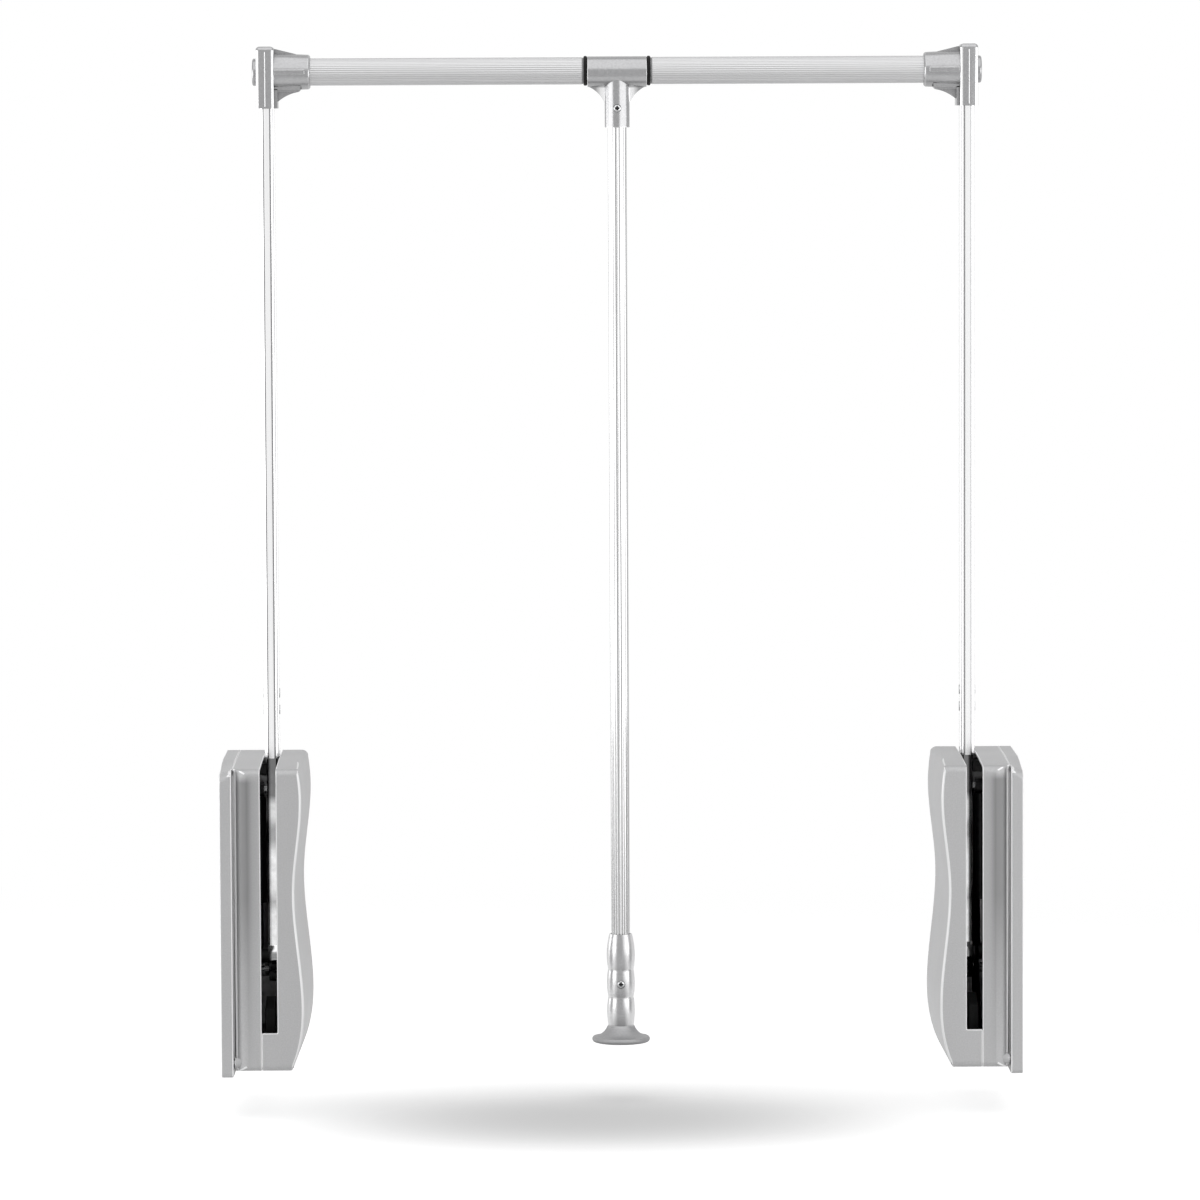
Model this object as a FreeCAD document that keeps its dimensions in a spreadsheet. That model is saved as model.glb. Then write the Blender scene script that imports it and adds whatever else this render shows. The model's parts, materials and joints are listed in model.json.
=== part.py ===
import FreeCAD, Part
import math
import os
import re
import Sketcher
from FreeCAD import Placement, Rotation, Vector

# Pull-down closet rod: two spring housings screw to the side panels of a wardrobe, and a frame of two
# flat tubes and a telescopic hanging rail swings out and down on them when the hanging rod is pulled.
# Frame: X from the left panel to the right one, Y towards the back of the wardrobe, Z up.
# The origin is where the swing axis meets the face of the left panel. Sizes are in millimetres.

doc = FreeCAD.newDocument("pull_down_closet_rod")
sheet = doc.addObject("Spreadsheet::Sheet", "Dims")

SIZES = {
    # the lift as a whole
    "overall_width": 660,
    "arm_inset": 40,
    "rail_height": 737,
    "swing_angle": 105,
    "running_gap": 0.05,
    "snug_gap": 0.1,
    # housing: mounting plate
    "pivot_height": 88,
    "housing_height": 257,
    "front_reach": 100,
    "back_reach": 46,
    "plate_thick": 10.2,
    "plate_corner": 4,
    "slope_reach": 64,
    "plate_slope": 6.5,
    "plate_brow": 8,
    "lip_inset": 3,
    "shadow_gap": 0.8,
    "gap_depth": 8.5,
    "tab_setback": 5.2,
    "tab_width": 2.5,
    "tab_count": 6,
    "tab_start": 10,
    "wall_screw_radius": 2.75,
    "wall_screw_sink": 2.5,
    "wall_screw_span_y": 100,
    "wall_screw_mid_y": -18,
    "wall_screw_foot": 28,
    "wall_screw_drop": 39,
    # housing: the two cover halves
    "cover_lift": 5.3,
    "cover_wall": 2.4,
    "cover_slope": 2.1,
    "cover_brow": 5.5,
    "cover_edge": 2.6,
    "toe_radius": 6,
    "bow_depth": 4.5,
    "bow_width": 17,
    "bow_relief": 12,
    "front_edge_radius": 1.5,
    "slot_width": 13,
    "slot_floor": 51,
    "slot_notch": 8,
    "crown_inset": 62.5,
    "bulge_inset": 67.4,
    "waist_inset": 61.3,
    "foot_inset": 58,
    "crown_radius": 6,
    "wave_edge": 1.2,
    "side_flare": 2.6,
    "upper_bulge_drop": 27,
    "waist_drop": 98,
    "lower_bulge_z": -9,
    "lower_straight_z": -50,
    "cavity_inset": 57.5,
    "boss_radius": 5,
    "boss_corner": 7,
    "cover_screw_radius": 2,
    "cover_screw_head_radius": 4,
    "cover_screw_head": 2.6,
    "cover_screw_bite": 16,
    # housing: steel chassis
    "sheet_thick": 2.5,
    "cheek_front": 40,
    "inner_cheek_front": 18,
    "cheek_clearance": 10,
    "chassis_back": 38.5,
    "chassis_foot": 62,
    "chassis_drop": 21,
    "cheek_slant": 30,
    "window_margin": 40,
    "access_hole_radius": 6,
    "chassis_screw_radius": 2,
    "chassis_screw_head_radius": 3.6,
    "chassis_screw_head": 1.8,
    "chassis_screw_bite": 7,
    "chassis_screw_front": 30,
    "chassis_screw_back": 24,
    "chassis_screw_foot": 45,
    "chassis_screw_drop": 57,
    # pivot
    "pivot_radius": 5,
    "bush_wall": 2,
    "bush_flange": 1.2,
    "bush_flange_radius": 9,
    "spacer_radius": 6,
    "pivot_head": 0.4,
    "pivot_tail": 3.6,
    "clip_radius": 7.5,
    "clip_thick": 0.8,
    "clip_setback": 0.9,
    "clip_groove": 0.8,
    # lever and its crank ear
    "lever_depth": 17,
    "lever_lap": 64,
    "lever_edge_radius": 1.4,
    "lever_boss_radius": 13,
    "crank_radius": 20,
    "crank_angle": -40,
    "ear_centre": 15,
    "ear_radius": 13,
    "ear_slot_inner": 9,
    "ear_slot_side_gap": 2.1,
    "crank_pin_radius": 2.5,
    "rivet_radius": 2.5,
    "rivet_head_radius": 4,
    "rivet_head": 0.6,
    "rivet_low": 40,
    "rivet_high": 54,
    # gas strut
    "strut_inset": 12.5,
    "strut_top_y": 20,
    "strut_top_drop": 31,
    "strut_radius": 6,
    "strut_length": 95,
    "strut_bore_radius": 4.6,
    "strut_cap": 9,
    "strut_eye_radius": 6,
    "strut_eye_thick": 9,
    "strut_pin_radius": 3,
    "rod_radius": 3,
    "rod_hidden": 22,
    "rod_piston": 8,
    "rod_eye_radius": 5.5,
    "rod_eye_thick": 8,
    "rod_lap": 1,
    # rubber buffer at the foot of the slot
    "buffer_width": 8,
    "buffer_front": 86,
    "buffer_back": 60,
    "buffer_gap": 0.3,
    # arm tube
    "arm_width": 12.4,
    "arm_depth": 20,
    "arm_wall": 1,
    "arm_side_wall": 1.7,
    "arm_corner": 3.3,
    "arm_hollow_corner": 2,
    "arm_sink": 2,
    # corner bracket
    "bracket_outside": 8.5,
    "bracket_inside": 6.5,
    "bracket_depth": 27,
    "bracket_above": 21,
    "bracket_below": 30,
    "bracket_nose_radius": 2.5,
    "flank_proud": 2.6,
    "flank_setback": 4,
    "nose_rib_width": 1.6,
    "nose_rib": 0.5,
    "bracket_top_radius": 3.5,
    "arm_seat": 13,
    "socket_length": 29.5,
    "socket_root_radius": 15.6,
    "socket_tip_radius": 14.3,
    "socket_rib_height": 3.4,
    "socket_rib_inset": 4.5,
    "socket_lip": 1.2,
    "rail_seat": 26,
    "web_thick": 3.2,
    "web_drop": 3,
    "web_reach": 20,
    "web_hollow": 1.4,
    "ledge_depth": 15,
    "ledge_high": 14,
    "ledge_low": 16.4,
    "cap_radius": 11.3,
    "cap_proud": 3.4,
    "cap_edge_radius": 1.6,
    "bracket_screw_radius": 1.75,
    "bracket_screw_head_radius": 3.2,
    "bracket_screw_head": 1.6,
    "arm_screw_drop": 21.5,
    "rail_screw_inset": 14,
    # telescopic rail
    "rail_radius": 11.25,
    "rail_wall": 1.2,
    "guide_flange": 1.5,
    "guide_flange_radius": 10.9,
    "guide_length": 22,
    "centre_tube_radius": 8.5,
    "centre_tube_wall": 1.2,
    "centre_tube_length": 457,
    # tee on the rail
    "tee_radius": 12.7,
    "tee_sag": 0.8,
    "tee_length": 49.4,
    "tee_ring_radius": 12.3,
    "tee_ring_width": 3,
    "tee_bush_wall": 2,
    "tee_bush_length": 16,
    "stem_radius": 10.6,
    "stem_drop": 47,
    "stem_web_reach": 24,
    "stem_web_drop": 28,
    "stem_web_thick": 3,
    "stem_web_hollow": 1.6,
    "stem_web_lap": 0.5,
    "pull_seat": 17,
    "tee_screw_drop": 31,
    # pull rod and grip
    "pull_radius": 7.8,
    "pull_wall": 1.2,
    "grip_top": 17.2,
    "grip_length": 91,
    "grip_neck": 77,
    "grip_collar": 0.6,
    "grip_rim_radius": 9.5,
    "grip_valley_radius": 10.8,
    "grip_bulge_radius": 11.7,
    "grip_flare_radius": 24.2,
    "grip_flare_thick": 4.5,
    "grip_flare_edge": 1,
    "grip_flare_hollow": 1.6,
    "grip_bore_gap": 0.5,
    "grip_bore_depth": 68,
    "grip_screw_drop": 41.6,
    "small_screw_radius": 1.6,
    "small_screw_head_radius": 3.3,
    "small_screw_head": 1.8,
}
for row, (name, size) in enumerate(SIZES.items(), start=1):
    sheet.set(f"A{row}", name)
    sheet.set(f"B{row}", str(size))
    sheet.setAlias(f"B{row}", name)
doc.recompute()

DIAGONAL = math.sqrt(0.5)
TOLERANCE = 0.01
SMALLEST_CUT = 1e-6
CUT_MARGIN = 1
PLATE_FACE = "(plate_thick + shadow_gap)"
SEAM = "(arm_inset - slot_width / 2)"
HALF_WIDTH = "(overall_width / 2)"
HOUSING_TOP = "(housing_height - pivot_height)"
COVER_FOOT = "(cover_lift - pivot_height)"
CHEEK_INNER = "(arm_inset + cheek_clearance)"
COVER_DEPTH = f"({SEAM} - {PLATE_FACE})"
TAB_PITCH = "((housing_height - cover_lift - 2 * tab_start - tab_width) / (tab_count - 1))"
CHASSIS_TOP = f"({HOUSING_TOP} - chassis_drop)"
STRUT_TOP_Z = f"({HOUSING_TOP} - strut_top_drop)"
ARM_FOOT = f"({HOUSING_TOP} - arm_sink)"
LEVER_THICK = "(arm_width - 2 * arm_side_wall - 2 * snug_gap)"
STRUT_X = "(arm_inset - strut_inset)"
BLOCK_INSIDE = "(arm_inset + bracket_inside)"
SOCKET_END = "(arm_inset + bracket_inside + socket_length)"
RAIL_START = "(arm_inset + bracket_inside + socket_length - rail_seat)"
RAIL_END = "(overall_width / 2 - tee_length / 2 - tee_ring_width - guide_flange)"
SLOT_RIM = "(crank_radius + crank_pin_radius + running_gap)"
CRANK_Y = "(crank_radius * cos(crank_angle * 1 deg))"
CRANK_Z = "(crank_radius * sin(crank_angle * 1 deg))"


def linked(expression):
    """Turns the size names in an expression into links to the sheet."""
    return re.sub(r"\b([a-z]+(?:_[a-z]+)+)\b", r"Dims.\1", expression)


def size(name):
    return float(sheet.get(name))


def bind(thing, prop, expression):
    thing.setExpression(prop, linked(expression))


def new_body(label, x="0", y="0", z="0"):
    body = doc.addObject("PartDesign::Body", label)
    body.Label = label
    bind(body, "Placement.Base.x", x)
    bind(body, "Placement.Base.y", y)
    bind(body, "Placement.Base.z", z)
    return body


def new_sketch(body, plane, offset="0"):
    """Sketch on one of the body's own planes, moved along its normal: XY up, YZ right, XZ forward."""
    sketch = body.newObject("Sketcher::SketchObject", f"{body.Name}_{plane}_sketch")
    origin_plane = next(f for f in body.Origin.OriginFeatures if f.Role == f"{plane}_Plane")
    sketch.AttachmentSupport = (origin_plane, [""])
    sketch.MapMode = "FlatFace"
    bind(sketch, "AttachmentOffset.Base.z", offset)
    return sketch


def pin_point(sketch, geometry, end, x, y):
    """Holds one end of a sketch line, or the centre of a circle, at bound distances from the origin."""
    across = sketch.addConstraint(Sketcher.Constraint("DistanceX", -1, 1, geometry, end, 1.0))
    up = sketch.addConstraint(Sketcher.Constraint("DistanceY", -1, 1, geometry, end, 1.0))
    bind(sketch, f"Constraints[{across}]", x)
    bind(sketch, f"Constraints[{up}]", y)


def draw_polygon(sketch, corners):
    """Closed straight-sided outline whose corners are pairs of expressions, listed in turn."""
    count = len(corners)
    first = sketch.GeometryCount
    turns = [2 * math.pi * i / count for i in range(count)]
    starts = [Vector(math.cos(turn), math.sin(turn), 0) for turn in turns]
    for i in range(count):
        sketch.addGeometry(Part.LineSegment(starts[i], starts[(i + 1) % count]))
    for i in range(count):
        sketch.addConstraint(Sketcher.Constraint("Coincident", first + i, 2, first + (i + 1) % count, 1))
    for i, (x, y) in enumerate(corners):
        pin_point(sketch, first + i, 1, x, y)


def draw_rectangle(sketch, x_low, y_low, x_high, y_high):
    draw_polygon(sketch, [(x_low, y_low), (x_high, y_low), (x_high, y_high), (x_low, y_high)])


def draw_circle(sketch, x, y, radius):
    circle = sketch.addGeometry(Part.Circle(Vector(0, 0, 0), Vector(0, 0, 1), 1.0))
    pin_point(sketch, circle, 3, x, y)
    held = sketch.addConstraint(Sketcher.Constraint("Radius", circle, 1.0))
    bind(sketch, f"Constraints[{held}]", radius)


def pad(body, sketch, length, backwards=False):
    feature = body.newObject("PartDesign::Pad", f"{sketch.Name}_pad")
    feature.Profile = sketch
    feature.Reversed = backwards
    bind(feature, "Length", length)
    doc.recompute()
    return feature


def pocket(body, sketch, depth, along_normal=True):
    """Cuts from the sketch plane, along its normal or against it, and checks that it removed material."""
    before = body.Shape.Volume
    feature = body.newObject("PartDesign::Pocket", f"{sketch.Name}_pocket")
    feature.Profile = sketch
    feature.Reversed = along_normal
    bind(feature, "Length", depth)
    doc.recompute()
    if body.Shape.Volume > before - SMALLEST_CUT:
        raise RuntimeError(f"{feature.Name} cuts nothing from {body.Label}")
    return feature


def revolve(body, sketch, axis):
    feature = body.newObject("PartDesign::Revolution", f"{sketch.Name}_revolution")
    feature.Profile = sketch
    feature.ReferenceAxis = (sketch, [axis])
    feature.Angle = 360
    doc.recompute()
    return feature


def loft(body, sketches, kind):
    """Straight-sided loft through the sketches, 'Additive' or 'Subtractive'."""
    feature = body.newObject(f"PartDesign::{kind}Loft", f"{sketches[0].Name}_loft")
    feature.Profile = sketches[0]
    feature.Sections = sketches[1:]
    feature.Ruled = True
    doc.recompute()
    if "Invalid" in feature.State:
        raise RuntimeError(f"{feature.Name} does not build")
    return feature


def round_edges(body, radius, wanted):
    """Fillets the edges of the body's latest feature for which wanted(edge) holds."""
    base = body.Tip
    names = [f"Edge{i}" for i, edge in enumerate(base.Shape.Edges, start=1) if wanted(edge)]
    feature = body.newObject("PartDesign::Fillet", f"{body.Name}_fillet")
    feature.Base = (base, names)
    bind(feature, "Radius", radius)
    doc.recompute()
    if "Invalid" in feature.State:
        raise RuntimeError(f"{feature.Name} does not fit the edges {names}")
    return feature


def bevel_edges(body, width, wanted):
    base = body.Tip
    names = [f"Edge{i}" for i, edge in enumerate(base.Shape.Edges, start=1) if wanted(edge)]
    feature = body.newObject("PartDesign::Chamfer", f"{body.Name}_chamfer")
    feature.Base = (base, names)
    bind(feature, "Size", width)
    doc.recompute()
    return feature


def close(a, b):
    return abs(a - b) < TOLERANCE


def runs_along(edge, axis):
    """True for a straight edge parallel to the axis given as 'x', 'y' or 'z'."""
    ends = edge.Vertexes[-1].Point - edge.Vertexes[0].Point
    return close(ends.Length, edge.Length) and close(abs(getattr(ends, axis)), ends.Length)


def centre(edge):
    return edge.CenterOfMass


def new_rod(label, axis, radius, length, x, y, z):
    """Plain round solid along one axis, starting at x, y, z."""
    rod = doc.addObject("Part::Cylinder", label)
    turns = {
        "x": Rotation(Vector(0, 1, 0), 90),
        "y": Rotation(Vector(1, 0, 0), -90),
        "z": Rotation(),
    }
    rod.Placement = Placement(Vector(), turns[axis])
    bind(rod, "Radius", radius)
    bind(rod, "Height", length)
    bind(rod, "Placement.Base.x", x)
    bind(rod, "Placement.Base.y", y)
    bind(rod, "Placement.Base.z", z)
    return rod


def fused(label, solids):
    union = doc.addObject("Part::MultiFuse", label)
    union.Shapes = solids
    union.Label = label
    return union


def cut(label, base, tool):
    difference = doc.addObject("Part::Cut", label)
    difference.Base = base
    difference.Tool = tool
    difference.Label = label
    return difference


def overlap(label, base, tool):
    shared = doc.addObject("Part::Common", label)
    shared.Base = base
    shared.Tool = tool
    shared.Label = label
    return shared


def grouped(label, solids):
    group = doc.addObject("Part::Compound", label)
    group.Links = solids
    group.Label = label
    return group


def new_ring(label, axis, outer, inner, length, x, y, z):
    """Round sleeve along one axis."""
    outside = new_rod(f"{label}_outside", axis, outer, length, x, y, z)
    inside = new_rod(f"{label}_inside", axis, inner, length, x, y, z)
    return cut(label, outside, inside)


left_pieces = []
centre_pieces = []


# Places that several pieces share, as the sheet gives them.
HOUSING_FRONT = -size("front_reach")
HOUSING_BACK = size("back_reach")
TOP = size("housing_height") - size("pivot_height")
BOTTOM = -size("pivot_height")
COVER_BOTTOM = size("cover_lift") - size("pivot_height")
PLATE_FACE_X = size("plate_thick") + size("shadow_gap")
SEAM_X = size("arm_inset") - size("slot_width") / 2


def is_circle(edge, radius):
    return len(edge.Vertexes) == 1 and close(edge.Length, 2 * math.pi * radius)


def cut_corner(body, start, depth, y, z, radius):
    """Rounds one corner of the side view right across the body, from a plane along X over a depth."""
    into_y = math.copysign(radius, -y)
    into_z = math.copysign(radius, -z)
    corner = Vector(y, z, 0)
    round_start = corner + Vector(into_y, 0, 0)
    round_end = corner + Vector(0, into_z, 0)
    round_middle = corner + Vector(into_y, into_z, 0) * (1 - DIAGONAL)
    corner_view = new_sketch(body, "YZ", start)
    corner_view.addGeometry(Part.Arc(round_start, round_middle, round_end))
    corner_view.addGeometry(Part.LineSegment(round_end, corner))
    corner_view.addGeometry(Part.LineSegment(corner, round_start))
    pocket(body, corner_view, depth)


def draw_brow(sketch, slope, radius):
    """Waste above the brow in the side view: the top slopes down to the front, then turns over a round."""
    slope_start = Vector(HOUSING_FRONT + size("slope_reach"), TOP, 0)
    round_start = Vector(HOUSING_FRONT + radius, TOP - slope, 0)
    round_end = Vector(HOUSING_FRONT, TOP - slope - radius, 0)
    round_middle = Vector(round_end.x, round_start.y, 0) + Vector(radius, -radius, 0) * (1 - DIAGONAL)
    above_front = Vector(HOUSING_FRONT - CUT_MARGIN, TOP + CUT_MARGIN, 0)
    sketch.addGeometry(Part.LineSegment(slope_start, round_start))
    sketch.addGeometry(Part.Arc(round_start, round_middle, round_end))
    sketch.addGeometry(Part.LineSegment(round_end, above_front))
    sketch.addGeometry(Part.LineSegment(above_front, slope_start))


def cavity_corners(front_wall):
    """Inside outline of the covers, which follows the slope and the round of the brow."""
    return [
        (f"{front_wall} - front_reach", f"cover_wall + {COVER_FOOT}"),
        ("back_reach - cover_wall", f"cover_wall + {COVER_FOOT}"),
        ("back_reach - cover_wall", f"{HOUSING_TOP} - cover_wall"),
        ("slope_reach - front_reach", f"{HOUSING_TOP} - cover_wall"),
        (f"{front_wall} + cover_brow / 2 - front_reach", f"{HOUSING_TOP} - cover_wall - cover_slope"),
        (f"{front_wall} - front_reach", f"{HOUSING_TOP} - cover_wall - cover_slope - cover_brow / 2"),
    ]


# ---------------------------------------------------------------- left housing: moulded mounting plate
mount_plate = new_body("mount_plate")
outline = new_sketch(mount_plate, "XY", "-pivot_height")
edge_radius = size("front_edge_radius")
edge_centre = Vector(size("plate_thick") - edge_radius, HOUSING_FRONT + edge_radius, 0)
edge_front = edge_centre - Vector(0, edge_radius, 0)
edge_side = edge_centre + Vector(edge_radius, 0, 0)
edge_middle = edge_centre + Vector(1, -1, 0) * edge_radius * DIAGONAL
plate_corners = [
    edge_side,
    Vector(size("plate_thick"), HOUSING_BACK, 0),
    Vector(0, HOUSING_BACK, 0),
    Vector(0, HOUSING_FRONT, 0),
    edge_front,
]
outline.addGeometry(Part.Arc(edge_front, edge_middle, edge_side))
for start, end in zip(plate_corners, plate_corners[1:]):
    outline.addGeometry(Part.LineSegment(start, end))
pad(mount_plate, outline, "housing_height")
# The cover seats on a step that is set back at the front, so that a shadow line shows.
step = new_sketch(mount_plate, "YZ", "plate_thick")
draw_rectangle(
    step, "gap_depth - front_reach", f"lip_inset + {COVER_FOOT}", "back_reach - lip_inset", HOUSING_TOP
)
pad(mount_plate, step, "shadow_gap")
for y, z in ((HOUSING_FRONT, BOTTOM), (HOUSING_BACK, BOTTOM), (HOUSING_BACK, TOP)):
    cut_corner(mount_plate, "0", PLATE_FACE, y, z, size("plate_corner"))
# At the wall side the brow falls further than where it meets the cover.
wall_brow = new_sketch(mount_plate, "YZ")
draw_brow(wall_brow, size("plate_slope"), size("plate_brow"))
cover_brow = new_sketch(mount_plate, "YZ", PLATE_FACE)
draw_brow(cover_brow, size("cover_slope"), size("cover_brow"))
loft(mount_plate, [wall_brow, cover_brow], "Subtractive")
# Small tabs bridge the shadow line along the front edge.
tab = new_sketch(mount_plate, "YZ", "plate_thick")
draw_rectangle(
    tab,
    "tab_setback - front_reach",
    f"tab_start + {COVER_FOOT}",
    "gap_depth + tab_width - front_reach",
    f"tab_start + tab_width + {COVER_FOOT}",
)
tab_pad = pad(mount_plate, tab, "shadow_gap")
tabs = mount_plate.newObject("PartDesign::LinearPattern", "plate_tabs")
tabs.Originals = [tab_pad]
tabs.Direction = (tab, ["V_Axis"])
bind(tabs, "Length", f"{TAB_PITCH} * (tab_count - 1)")
bind(tabs, "Occurrences", "tab_count")
mount_plate.Tip = tabs
doc.recompute()
# Holes for the wall screws, countersunk from inside.
WALL_SCREW_HEIGHTS = ("wall_screw_foot - pivot_height", f"{HOUSING_TOP} - wall_screw_drop")
wall_holes = new_sketch(mount_plate, "YZ")
for side in ("-", "+"):
    for z in WALL_SCREW_HEIGHTS:
        draw_circle(wall_holes, f"wall_screw_mid_y {side} wall_screw_span_y / 2", z, "wall_screw_radius")
pocket(mount_plate, wall_holes, PLATE_FACE)
bevel_edges(
    mount_plate,
    "wall_screw_sink",
    lambda edge: is_circle(edge, size("wall_screw_radius")) and close(centre(edge).x, PLATE_FACE_X),
)
# Cover screws enter from the wall side, chassis screws from the inside.
BOSSES = (
    ("(boss_corner - front_reach)", f"(boss_corner + {COVER_FOOT})"),
    ("(back_reach - boss_corner)", f"(boss_corner + {COVER_FOOT})"),
    ("(back_reach - boss_corner)", f"({HOUSING_TOP} - boss_corner)"),
)
for radius, depth in (
    ("cover_screw_radius + snug_gap", PLATE_FACE),
    ("cover_screw_head_radius + snug_gap", "cover_screw_head + 2 * snug_gap"),
):
    cover_holes = new_sketch(mount_plate, "YZ")
    for y, z in BOSSES:
        draw_circle(cover_holes, y, z, radius)
    pocket(mount_plate, cover_holes, depth)
CHASSIS_SCREWS = (
    ("-chassis_screw_front", "-chassis_screw_foot"),
    ("chassis_screw_back", "-chassis_screw_foot"),
    ("-chassis_screw_front", f"({HOUSING_TOP} - chassis_screw_drop)"),
    ("chassis_screw_back", f"({HOUSING_TOP} - chassis_screw_drop)"),
)
chassis_holes = new_sketch(mount_plate, "YZ", PLATE_FACE)
for y, z in CHASSIS_SCREWS:
    draw_circle(chassis_holes, y, z, "chassis_screw_radius")
pocket(mount_plate, chassis_holes, "chassis_screw_bite", along_normal=False)
left_pieces.append(mount_plate)


# ---------------------------------------------------------------- left housing: outer half of the cover
outer_cover = new_body("outer_cover")
outline = new_sketch(outer_cover, "YZ", PLATE_FACE)
draw_rectangle(outline, "-front_reach", COVER_FOOT, "back_reach", HOUSING_TOP)
pad(outer_cover, outline, COVER_DEPTH)
for y, z, radius in (
    (HOUSING_FRONT, COVER_BOTTOM, size("toe_radius")),
    (HOUSING_BACK, COVER_BOTTOM, size("plate_corner")),
    (HOUSING_BACK, TOP, size("plate_corner")),
):
    cut_corner(outer_cover, PLATE_FACE, COVER_DEPTH, y, z, radius)
brow = new_sketch(outer_cover, "YZ", PLATE_FACE)
draw_brow(brow, size("cover_slope"), size("cover_brow"))
pocket(outer_cover, brow, COVER_DEPTH)
# The front bows back towards the mounting plate, and ends in a round edge beside the shadow line.
bow = new_sketch(outer_cover, "XY", COVER_FOOT)
edge_radius = size("cover_edge")
bow_start = Vector(PLATE_FACE_X + edge_radius, HOUSING_FRONT + size("bow_depth"), 0)
bow_end = Vector(PLATE_FACE_X + size("bow_width"), HOUSING_FRONT, 0)
bow_middle = (bow_start + bow_end) / 2 - Vector(size("bow_depth") / 4, size("bow_depth") / 3, 0)
edge_start = bow_start + Vector(-1, 1, 0) * edge_radius
edge_middle = bow_start + Vector(-DIAGONAL, 1 - DIAGONAL, 0) * edge_radius
bow_corner = Vector(PLATE_FACE_X, HOUSING_FRONT, 0)
bow.addGeometry(Part.Arc(edge_start, edge_middle, bow_start))
bow.addGeometry(Part.Arc(bow_start, bow_middle, bow_end))
bow.addGeometry(Part.LineSegment(bow_end, bow_corner))
bow.addGeometry(Part.LineSegment(bow_corner, edge_start))
pocket(outer_cover, bow, "housing_height - cover_lift")
# The cavity is deeper beside the seam, where the front is full.
for start, depth, front_wall in (
    (PLATE_FACE, "bow_relief", "cover_wall + bow_depth + cover_edge"),
    (f"{PLATE_FACE} + bow_relief", f"{COVER_DEPTH} - bow_relief", "cover_wall"),
):
    cavity = new_sketch(outer_cover, "YZ", start)
    draw_polygon(cavity, cavity_corners(front_wall))
    pocket(outer_cover, cavity, depth)
bosses = new_sketch(outer_cover, "YZ", PLATE_FACE)
for y, z in BOSSES:
    draw_circle(bosses, y, z, "boss_radius")
pad(outer_cover, bosses, COVER_DEPTH)
boss_holes = new_sketch(outer_cover, "YZ", PLATE_FACE)
for y, z in BOSSES:
    draw_circle(boss_holes, y, z, "cover_screw_radius + snug_gap")
pocket(outer_cover, boss_holes, COVER_DEPTH)
left_pieces.append(outer_cover)


# ---------------------------------------------------------------- left housing: inner half of the cover
inner_block = new_body("inner_block")
outline = new_sketch(inner_block, "YZ", SEAM)
draw_rectangle(outline, "-front_reach", COVER_FOOT, "back_reach", HOUSING_TOP)
INNER_REACH = f"(bulge_inset + 2 * side_flare - {SEAM})"
pad(inner_block, outline, INNER_REACH)
for y, z, radius in (
    (HOUSING_FRONT, COVER_BOTTOM, size("toe_radius")),
    (HOUSING_BACK, COVER_BOTTOM, size("plate_corner")),
    (HOUSING_BACK, TOP, size("plate_corner")),
):
    cut_corner(inner_block, SEAM, INNER_REACH, y, z, radius)
brow = new_sketch(inner_block, "YZ", SEAM)
draw_brow(brow, size("cover_slope"), size("cover_brow"))
pocket(inner_block, brow, INNER_REACH)
cavity = new_sketch(inner_block, "YZ", SEAM)
draw_polygon(cavity, cavity_corners("cover_wall"))
pocket(inner_block, cavity, f"cavity_inset - {SEAM}")
bosses = new_sketch(inner_block, "YZ", SEAM)
for y, z in BOSSES:
    draw_circle(bosses, y, z, "boss_radius")
pad(inner_block, bosses, f"cavity_inset - {SEAM} + cover_wall / 2")
boss_holes = new_sketch(inner_block, "YZ", SEAM)
for y, z in BOSSES:
    draw_circle(boss_holes, y, z, "cover_screw_radius")
pocket(inner_block, boss_holes, "cover_screw_bite")
# The arm's slot: down the front, and through the top to the back wall.
front_slot = new_sketch(inner_block, "XZ", "front_reach")
draw_rectangle(front_slot, SEAM, "-slot_floor", f"{SEAM} + slot_width", HOUSING_TOP)
pocket(inner_block, front_slot, "slot_notch", along_normal=False)
top_slot = new_sketch(inner_block, "XY", f"{HOUSING_TOP} - slot_notch")
draw_rectangle(top_slot, SEAM, "-front_reach", f"{SEAM} + slot_width", "back_reach")
pocket(inner_block, top_slot, "slot_notch")
# Two bulges and a waist shape the side that faces the wardrobe's middle. It starts with a narrow bevel at the
# front and spreads a little towards the back.
waisted_side = new_body("waisted_side")
# Middle of the crown's round, in crown radii from its lower end.
CROWN_BEND = Vector(-0.15, 0.59, 0)


def draw_waisted(sketch, widen):
    """Front view of the waisted side, moved out by a distance, and reaching past the block elsewhere."""
    outward = Vector(widen, 0, 0)
    past = size("side_flare")
    foot_corner = Vector(size("foot_inset"), COVER_BOTTOM, 0) + outward
    crown_round = size("crown_radius")
    crown_side = Vector(size("crown_inset") + crown_round / 2, TOP - crown_round, 0) + outward
    crown_middle = crown_side + CROWN_BEND * crown_round
    crown_top = Vector(size("crown_inset") - crown_round / 2, TOP, 0) + outward
    bulge_x = size("bulge_inset") + widen
    wave = Part.BSplineCurve()
    wave.interpolate(
        [
            foot_corner,
            Vector(bulge_x, size("lower_straight_z"), 0),
            Vector(bulge_x, size("lower_bulge_z"), 0),
            Vector(size("waist_inset") + widen, TOP - size("waist_drop"), 0),
            Vector(bulge_x, TOP - size("upper_bulge_drop"), 0),
            crown_side,
        ]
    )
    sketch.addGeometry(wave)
    sketch.addGeometry(Part.Arc(crown_side, crown_middle, crown_top))
    beyond = [
        crown_top,
        crown_top + Vector(0, past, 0),
        Vector(SEAM_X - past, TOP + past, 0),
        Vector(SEAM_X - past, COVER_BOTTOM - past, 0),
        foot_corner - Vector(0, past, 0),
        foot_corner,
    ]
    for start, end in zip(beyond, beyond[1:]):
        sketch.addGeometry(Part.LineSegment(start, end))


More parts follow.
